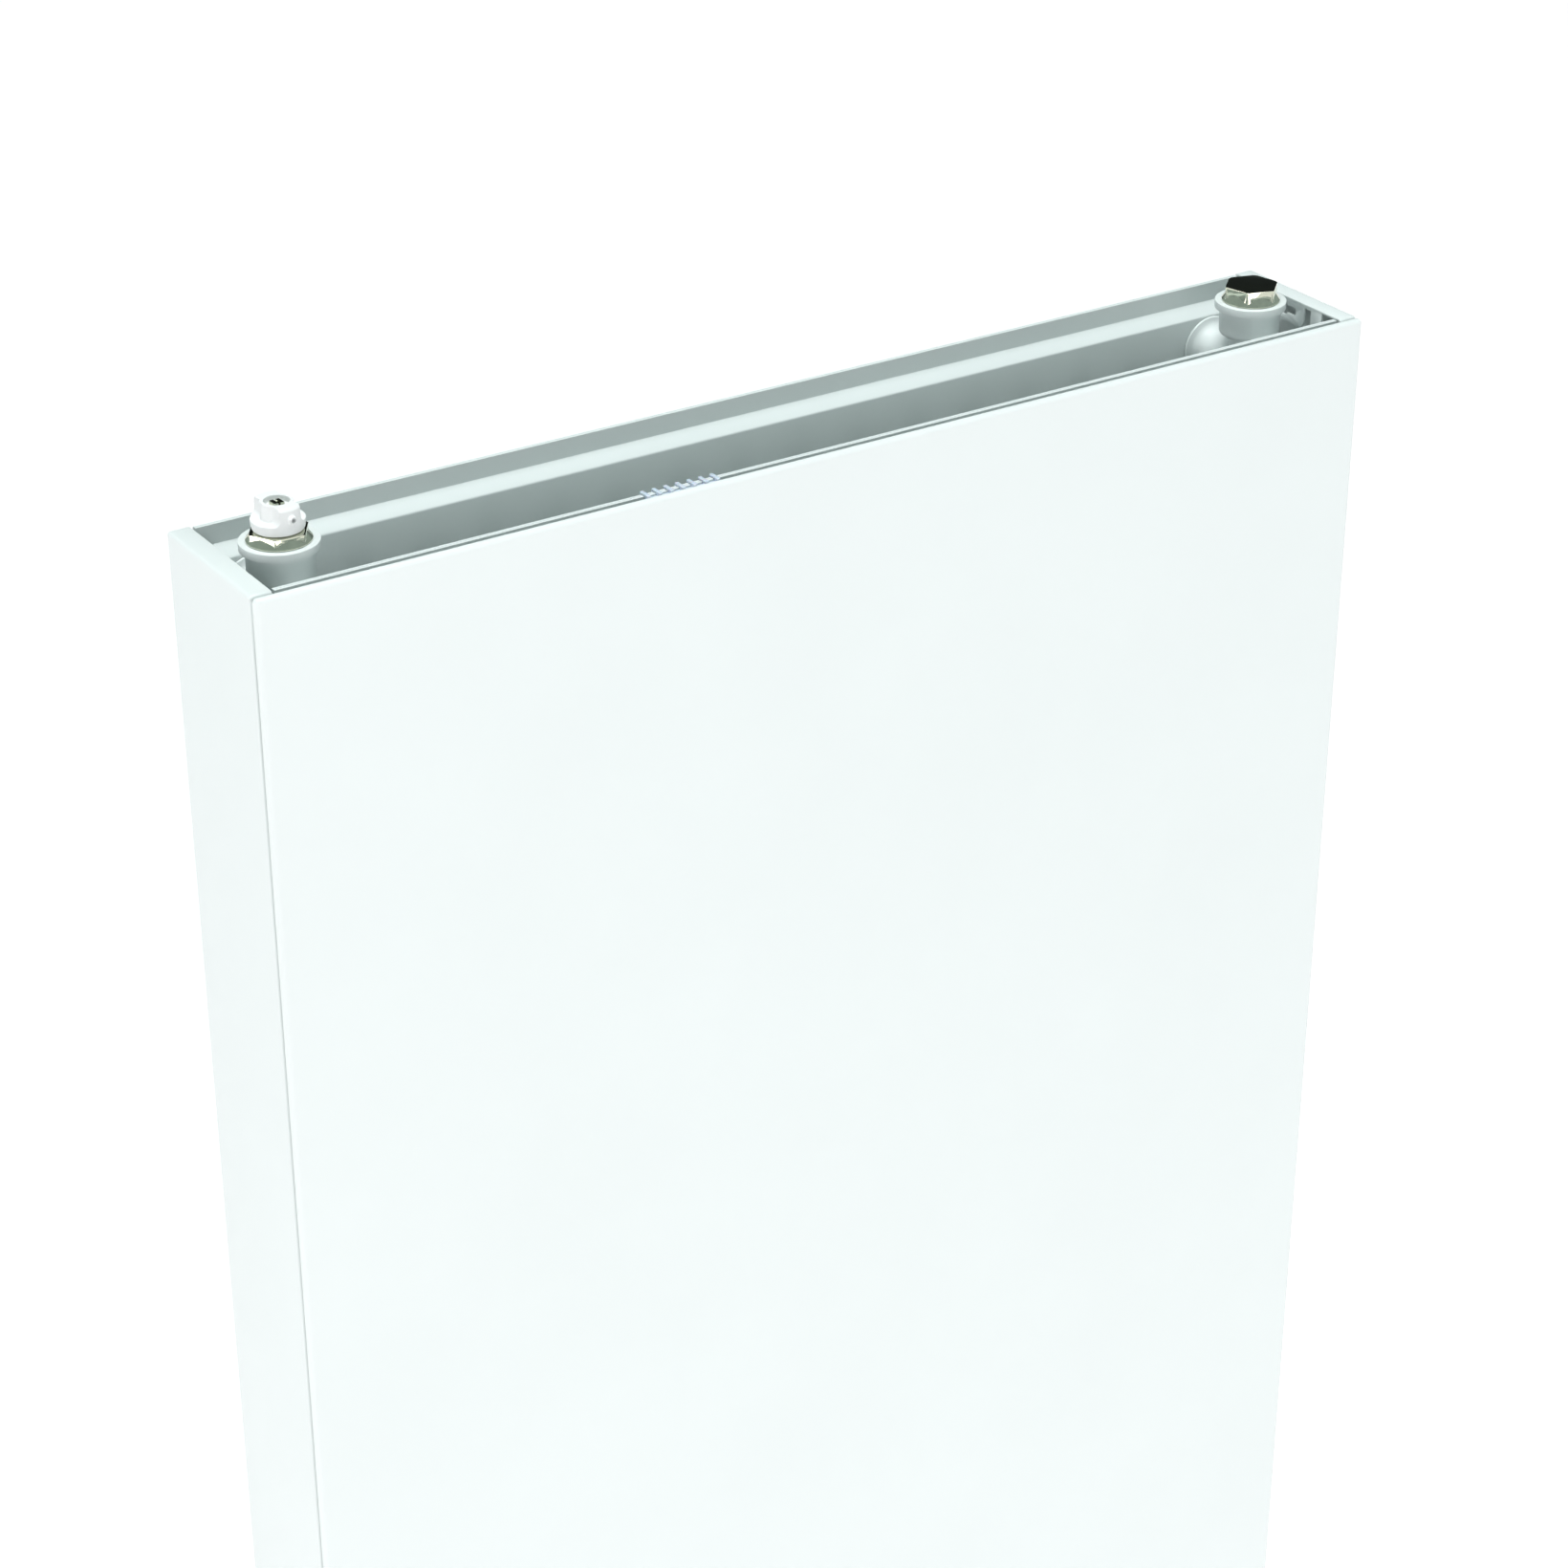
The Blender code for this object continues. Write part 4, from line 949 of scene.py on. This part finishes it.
class RADIATOR_OT_seals(bpy.types.Operator):
    """Makes the seals under the fittings, in the nozzle and on the vent screw's tip"""

    bl_idname = "radiator.seals"
    bl_label = "Seals"

    face_bore: length("Face seal bore", "Radius of the hole in the seals under the flanges", 0.0106)
    ring_bore: length("Ring bore", "Radius of the hole in the nozzle's seal", 0.0052)
    tip_point: length("Tip point", "Radius of the end of the vent screw's tip", 0.0015)

    def execute(self, context):
        bores = {"plug_seal": self.face_bore, "bush_seal": self.face_bore}
        bores["vent_nozzle_seal"] = self.ring_bore
        for node, bore in bores.items():
            low, high = corners(node)
            centre = (low + high) / 2
            outer, half = (high.x - low.x) / 2, (high.z - low.z) / 2
            bulge = arc((outer - half, 0), half, 90, -90, 8)
            profile = bulge + [(bore, -half), (bore, half)]
            ring = turned(node + "_ring", centre, profile, steps=96, ring=True)
            finish(ring, "seal_rubber", [node], smooth=60)
        low, high = corners("vent_screw_tip")
        centre = ((low.x + high.x) / 2, (low.y + high.y) / 2, 0)
        radius = (high.x - low.x) / 2
        shoulder = low.z + (high.z - low.z) / 3
        profile = [(self.tip_point, low.z), (radius, shoulder), (radius, high.z)]
        tip = turned("vent_screw_tip_cone", centre, profile, steps=48)
        round_edges(tip, 0.0002, 3)
        finish(tip, "seal_rubber", ["vent_screw_tip"], "vent_screw_tip")
        return {"FINISHED"}


# ---------------------------------------------------------------- air vent


class RADIATOR_OT_vent_nozzle(bpy.types.Operator):
    """Moulds the white nozzle: a barrel with two finger scoops, a recess for the key and a spout"""

    bl_idname = "radiator.vent_nozzle"
    bl_label = "Vent nozzle"

    azimuth: angle("Azimuth", "Direction that the spout faces", -85)

    def execute(self, context):
        sizes = context.scene.radiator_vent
        base, top = NOZZLE_LOW.z, NOZZLE_HIGH.z
        centre = VENT_CENTRE
        shoulder = base + 0.0040
        barrel = [(sizes.base_radius - 0.0013, base), (sizes.base_radius - 0.0007, base + 0.0004)]
        barrel += [(sizes.base_radius - 0.0003, base + 0.0013), (sizes.base_radius, shoulder)]
        barrel += [(sizes.base_radius - 0.0001, shoulder + 0.0030)]
        barrel += [(sizes.top_radius, top - 0.0012), (sizes.top_radius - 0.0008, top)]
        nozzle = turned("nozzle_shell", centre, barrel, steps=128)
        outside = 0.014
        for side in (-1, 1):
            near, far = sorted((side * sizes.bar_half, side * outside))
            low = (centre.x - outside, centre.y + near, top - sizes.scoop_depth)
            scoop = block("scoop", low, (centre.x + outside, centre.y + far, top + 0.004))
            round_edges(scoop, 0.0024, 6)
            wall = [(sizes.ring_radius + 0.0004, base), (sizes.ring_radius, top + 0.006)]
            combine(scoop, turned("wall", centre, wall, steps=96))
            combine(nozzle, swing(scoop, self.azimuth))
        spout_z = base + sizes.spout_height
        tip = centre.y - NOZZLE_LOW.y
        spout_at = (centre.x, centre.y, spout_z)
        spout = [(sizes.spout_radius + 0.0008, 0.0070), (sizes.spout_radius + 0.0002, tip - 0.0025)]
        spout += [(sizes.spout_radius, tip)]
        combine(nozzle, swing(turned("spout", spout_at, spout, "X", 48), self.azimuth), "UNION")
        cavity_top = base + sizes.cavity_height
        floor_z = top - sizes.recess_depth
        inside = [(sizes.recess_radius, top + OVER), (sizes.recess_radius, floor_z)]
        inside += [(sizes.bore, floor_z), (sizes.bore, cavity_top)]
        inside += [(sizes.cavity, cavity_top), (sizes.cavity, base - OVER)]
        combine(nozzle, turned("hollow", centre, inside, steps=96))
        remesh = nozzle.modifiers.new("even cells", "REMESH")
        remesh.mode = "VOXEL"
        remesh.voxel_size = sizes.grain
        apply(nozzle, remesh)
        smooth = nozzle.modifiers.new("moulded edges", "SMOOTH")
        smooth.factor = 0.5
        smooth.iterations = 5
        apply(nozzle, smooth)
        bore = [(sizes.spout_bore, 0.0030), (sizes.spout_bore, tip + OVER)]
        combine(nozzle, swing(turned("spout_bore", spout_at, bore, "X", 32), self.azimuth))
        finish(nozzle, "white_plastic", ["vent_nozzle"], "vent_nozzle", 50)
        return {"FINISHED"}


class RADIATOR_OT_vent_screw(bpy.types.Operator):
    """Makes the vent screw with its slotted square head"""

    bl_idname = "radiator.vent_screw"
    bl_label = "Vent screw"

    azimuth: angle("Azimuth", "Direction of the slot", -87)

    def execute(self, context):
        sizes = context.scene.radiator_vent
        low, high = corners("vent_screw")
        centre = VENT_CENTRE
        radius = (high.x - low.x) / 2
        shoulder = high.z - sizes.head
        screw = threaded_shank(centre, shoulder, low.z, radius, sizes.screw_pitch)
        screw.name = "vent_screw_body"
        half = sizes.square / 2
        head_low = (centre.x - half, centre.y - half, shoulder - OVER)
        head = block("head", head_low, (centre.x + half, centre.y + half, high.z))
        round_edges(head, 0.0004, 4)
        reach, half_slot = sizes.square, sizes.slot / 2
        slot_low = (centre.x - reach, centre.y - half_slot, high.z - sizes.slot_depth)
        slot = block("slot", slot_low, (centre.x + reach, centre.y + half_slot, high.z + OVER))
        combine(head, slot)
        combine(screw, swing(head, self.azimuth), "UNION")
        round_edges(screw, 0.00008, 2, 50)
        finish(screw, "nickel_plate", ["vent_screw"], "vent_screw", 30)
        return {"FINISHED"}


# ---------------------------------------------------------------- clip and lugs


class RADIATOR_OT_comb_clip(bpy.types.Operator):
    """Makes the comb clip that sits astride the front seam"""

    bl_idname = "radiator.comb_clip"
    bl_label = "Comb clip"

    teeth: IntProperty(name="Teeth", description="Number of teeth", default=7, min=2)
    tooth: length("Tooth", "Width of a tooth", 0.0019)
    rise: length("Rise", "Height of the clip above the plate's top edge", 0.0008)
    rear_leg: length("Rear leg", "Drop of the leg behind the seam", 0.0056)
    window: length("Window", "Drop of the windows between teeth", 0.0010)

    def execute(self, context):
        low, high = corners("comb_clip")
        outer_sheet, inner_sheet = corners("front_panel_outer_sheet"), corners("front_panel_inner_sheet")
        room = context.scene.radiator_sheet.gauge + CLEARANCE
        slot_front, slot_back = outer_sheet[1].y - room, inner_sheet[0].y + room
        clip = block("comb_clip_body", low, high)
        seam_high = (high.x + OVER, slot_back, outer_sheet[1].z + CLEARANCE)
        combine(clip, block("seam", (low.x - OVER, slot_front, low.z - OVER), seam_high))
        trim_low = (low.x - OVER, slot_back - 0.0001, low.z - OVER)
        trim_high = (high.x + OVER, high.y + OVER, high.z - self.rise - self.rear_leg)
        combine(clip, block("trim", trim_low, trim_high))
        pitch = (high.x - low.x - self.tooth) / (self.teeth - 1)
        start = low.x + self.tooth
        window_low = (start, low.y - OVER, TOP - self.window)
        windows = block("windows", window_low, (start + pitch - self.tooth, high.y + OVER, high.z + OVER))
        array = windows.modifiers.new("windows", "ARRAY")
        array.count = self.teeth - 1
        array.use_relative_offset = False
        array.use_constant_offset = True
        array.constant_offset_displace = (pitch, 0, 0)
        apply(windows, array)
        combine(clip, windows)
        round_edges(clip, 0.00025, 3)
        finish(clip, "clip_plastic", ["comb_clip"])
        return {"FINISHED"}


class RADIATOR_OT_hanging_lugs(bpy.types.Operator):
    """Bends the four hanging lugs and welds them to the rear panel"""

    bl_idname = "radiator.hanging_lugs"
    bl_label = "Hanging lugs"

    gauge: length("Gauge", "Thickness of the lugs' strip", 0.0025)
    inner_bend: length("Inner bend", "Radius inside the bends", 0.0010)
    leg: length("Leg", "Length of the leg below the shelf's underside", 0.0200)
    bead: length("Weld bead", "Radius of the weld beads", 0.0010)

    def execute(self, context):
        for node in ("upper_lug_left", "upper_lug_right", "lower_lug_left", "lower_lug_right"):
            low, high = corners(node)
            centre = ((low.x + high.x) / 2, low.y, (low.z + high.z) / 2)
            lug = upright_plane(node + "_strip", centre, high.x - low.x, high.z - low.z)
            top = high.z
            pick("edges", lambda edge: direction(edge, lug)[0] > 0.9 and middle(edge, lug).z > top - 0.0001)
            reach = high.y - low.y
            bpy.ops.mesh.extrude_edges_move(TRANSFORM_OT_translate={"value": (0, reach, 0)})
            drop = -self.leg - self.gauge
            bpy.ops.mesh.extrude_edges_move(TRANSFORM_OT_translate={"value": (0, 0, drop)})
            pick("edges", lambda edge: len(edge.link_faces) == 2)
            bpy.ops.mesh.bevel(offset=self.inner_bend + self.gauge, segments=8, profile=0.5)
            bpy.ops.mesh.select_all(action="SELECT")
            bpy.ops.mesh.normals_make_consistent(inside=False)
            end()
            thicken(lug, self.gauge, -1)
            round_edges(lug, 0.0004, 3, 50)
            beads = []
            for side in (-1, 1):
                x = centre[0] + side * (high.x - low.x) / 2
                run = [(x, low.y + self.bead, low.z + 0.003 + 0.002 * i) for i in range(11)]
                beads.append(weld_bead("lug_bead", run, self.bead, closed=False))
            join_pieces(lug, beads)
            finish(lug, "powder_coat", [node])
        return {"FINISHED"}


# ---------------------------------------------------------------- stage


CAMERA_FROM_TOP_EDGE = Vector((-0.87342, -1.27221, 0.63916))  # from the middle of the plate's top edge
TOWARDS_DARK = Vector((0.48, 0.74, 0.47))  # where the room is unlit
SENSOR_WIDTH, CLIP_END = 36, 200  # in millimetres and metres
DARK_EDGE, DARK_CORE = radians(40), radians(26)  # from the middle of the unlit part
FLOOR_SIZE, FLOOR_DROP = 60, 0.02
FLOOR_GLOW = (1.0, 0.94, 0.95, 1)
SKY_COLOUR = (0.80, 0.97, 0.95, 1)
WARM_WHITE, COOL_WHITE = (1.0, 0.92, 0.935), (0.97, 1.0, 1.0)


def area_light(name, place, target, size, power, tone):
    data = bpy.data.lights.new(name, "AREA")
    data.shape = "RECTANGLE"
    data.size, data.size_y = size
    data.energy = power
    data.color = tone
    light = bpy.data.objects.new(name, data)
    bpy.context.scene.collection.objects.link(light)
    light.location = place
    light.rotation_euler = (Vector(target) - Vector(place)).to_track_quat("-Z", "Y").to_euler()


def studio_world(bright, dark, towards_dark):
    """Even light from all round, except from one unlit side of the room."""
    world = bpy.data.worlds.new("studio")
    world.use_nodes = True
    nodes, links = world.node_tree.nodes, world.node_tree.links
    direction_of = nodes.new("ShaderNodeTexCoord").outputs["Generated"]
    share = nodes.new("ShaderNodeVectorMath")
    share.operation = "DOT_PRODUCT"
    share.inputs[1].default_value = towards_dark.normalized()
    links.new(direction_of, share.inputs[0])
    level = nodes.new("ShaderNodeMapRange")
    level.interpolation_type = "SMOOTHSTEP"
    level.inputs["From Min"].default_value = cos(DARK_EDGE)
    level.inputs["From Max"].default_value = cos(DARK_CORE)
    level.inputs["To Min"].default_value = bright
    level.inputs["To Max"].default_value = dark
    links.new(share.outputs["Value"], level.inputs["Value"])
    background = nodes["Background"]
    background.inputs["Color"].default_value = SKY_COLOUR
    links.new(level.outputs["Result"], background.inputs["Strength"])
    bpy.context.scene.world = world


class RADIATOR_OT_stage(bpy.types.Operator):
    """Sets the floor, the soft lights and the camera"""

    bl_idname = "radiator.stage"
    bl_label = "Stage"

    pitch: angle("Pitch", "Angle the camera looks down", 27.707)
    yaw: angle("Yaw", "Angle the camera looks to the right", 33.238)
    lens: strength("Lens", "Focal length in millimetres", 84.73)
    sky: strength("Sky", "Strength of the light from all round", 0.40)
    dark: strength("Dark side", "Strength of the unlit part of the room", 0.02)
    key: strength("Key light", "Power of the light in front", 60)
    side: strength("Side light", "Power of the light at the left", 48)
    overhead: strength("Overhead light", "Power of the light above", 104)

    def execute(self, context):
        values = context.scene.radiator_finish
        deselect_all()
        bpy.ops.mesh.primitive_plane_add(size=FLOOR_SIZE, location=(0, 0, CAD_BOX[0][2] - FLOOR_DROP))
        floor = bpy.context.object
        floor.name = "studio_floor"
        look = Look("studio_floor")
        tone = values.floor
        look.use(base_color=look.blend(look.noise(2), shade(tone, 0.995), shade(tone, 1.005)))
        look.set(roughness=0.9, emission_color=FLOOR_GLOW, emission_strength=0.72)
        floor.data.materials.append(bpy.data.materials["studio_floor"])
        camera = bpy.data.objects.new("camera", bpy.data.cameras.new("camera"))
        context.scene.collection.objects.link(camera)
        camera.data.lens = self.lens
        camera.data.sensor_width = SENSOR_WIDTH
        camera.data.clip_end = CLIP_END
        camera.location = Vector((0, FRONT, TOP)) + CAMERA_FROM_TOP_EDGE
        camera.rotation_euler = (pi / 2 - self.pitch, 0, -self.yaw)
        context.scene.camera = camera
        studio_world(self.sky, self.dark, TOWARDS_DARK)
        centre = (0, 0, TOP)
        area_light("key", (-0.6, -4.7, -0.3), centre, (2.6, 2.6), self.key, WARM_WHITE)
        area_light("side", (-4.7, 0.7, 0.1), centre, (2.4, 2.4), self.side, WARM_WHITE)
        area_light("overhead", (-0.2, -0.1, 3.6), centre, (1.6, 1.6), self.overhead, COOL_WHITE)
        context.scene.view_settings.view_transform = "Standard"
        return {"FINISHED"}


# ---------------------------------------------------------------- panel and registration


PIECES = (
    RADIATOR_OT_finishes,
    RADIATOR_OT_front_plate,
    RADIATOR_OT_water_panels,
    RADIATOR_OT_side_covers,
    RADIATOR_OT_tees,
    RADIATOR_OT_blind_plug,
    RADIATOR_OT_vent_bush,
    RADIATOR_OT_seals,
    RADIATOR_OT_vent_nozzle,
    RADIATOR_OT_vent_screw,
    RADIATOR_OT_comb_clip,
    RADIATOR_OT_hanging_lugs,
    RADIATOR_OT_stage,
)
SETTINGS = {
    "radiator_sheet": RadiatorSheetSizes,
    "radiator_lip": RadiatorLipSizes,
    "radiator_fitting": RadiatorFittingSizes,
    "radiator_vent": RadiatorVentSizes,
    "radiator_finish": RadiatorFinish,
}


class RADIATOR_PT_pieces(bpy.types.Panel):
    """Lists the radiator's pieces"""

    bl_idname = "RADIATOR_PT_pieces"
    bl_label = "Panel radiator"
    bl_space_type = "VIEW_3D"
    bl_region_type = "UI"
    bl_category = "Radiator"

    def draw(self, context):
        for piece in PIECES:
            self.layout.operator(piece.bl_idname)


def register():
    for name, group in SETTINGS.items():
        bpy.utils.register_class(group)
        setattr(bpy.types.Scene, name, PointerProperty(type=group))
    for piece in PIECES:
        bpy.utils.register_class(piece)
    bpy.utils.register_class(RADIATOR_PT_pieces)


def unregister():
    bpy.utils.unregister_class(RADIATOR_PT_pieces)
    for piece in reversed(PIECES):
        bpy.utils.unregister_class(piece)
    for name, group in SETTINGS.items():
        delattr(bpy.types.Scene, name)
        bpy.utils.unregister_class(group)


def main():
    register()
    for piece in PIECES:
        family, name = piece.bl_idname.split(".")
        getattr(getattr(bpy.ops, family), name)()


if __name__ == "__main__":
    main()
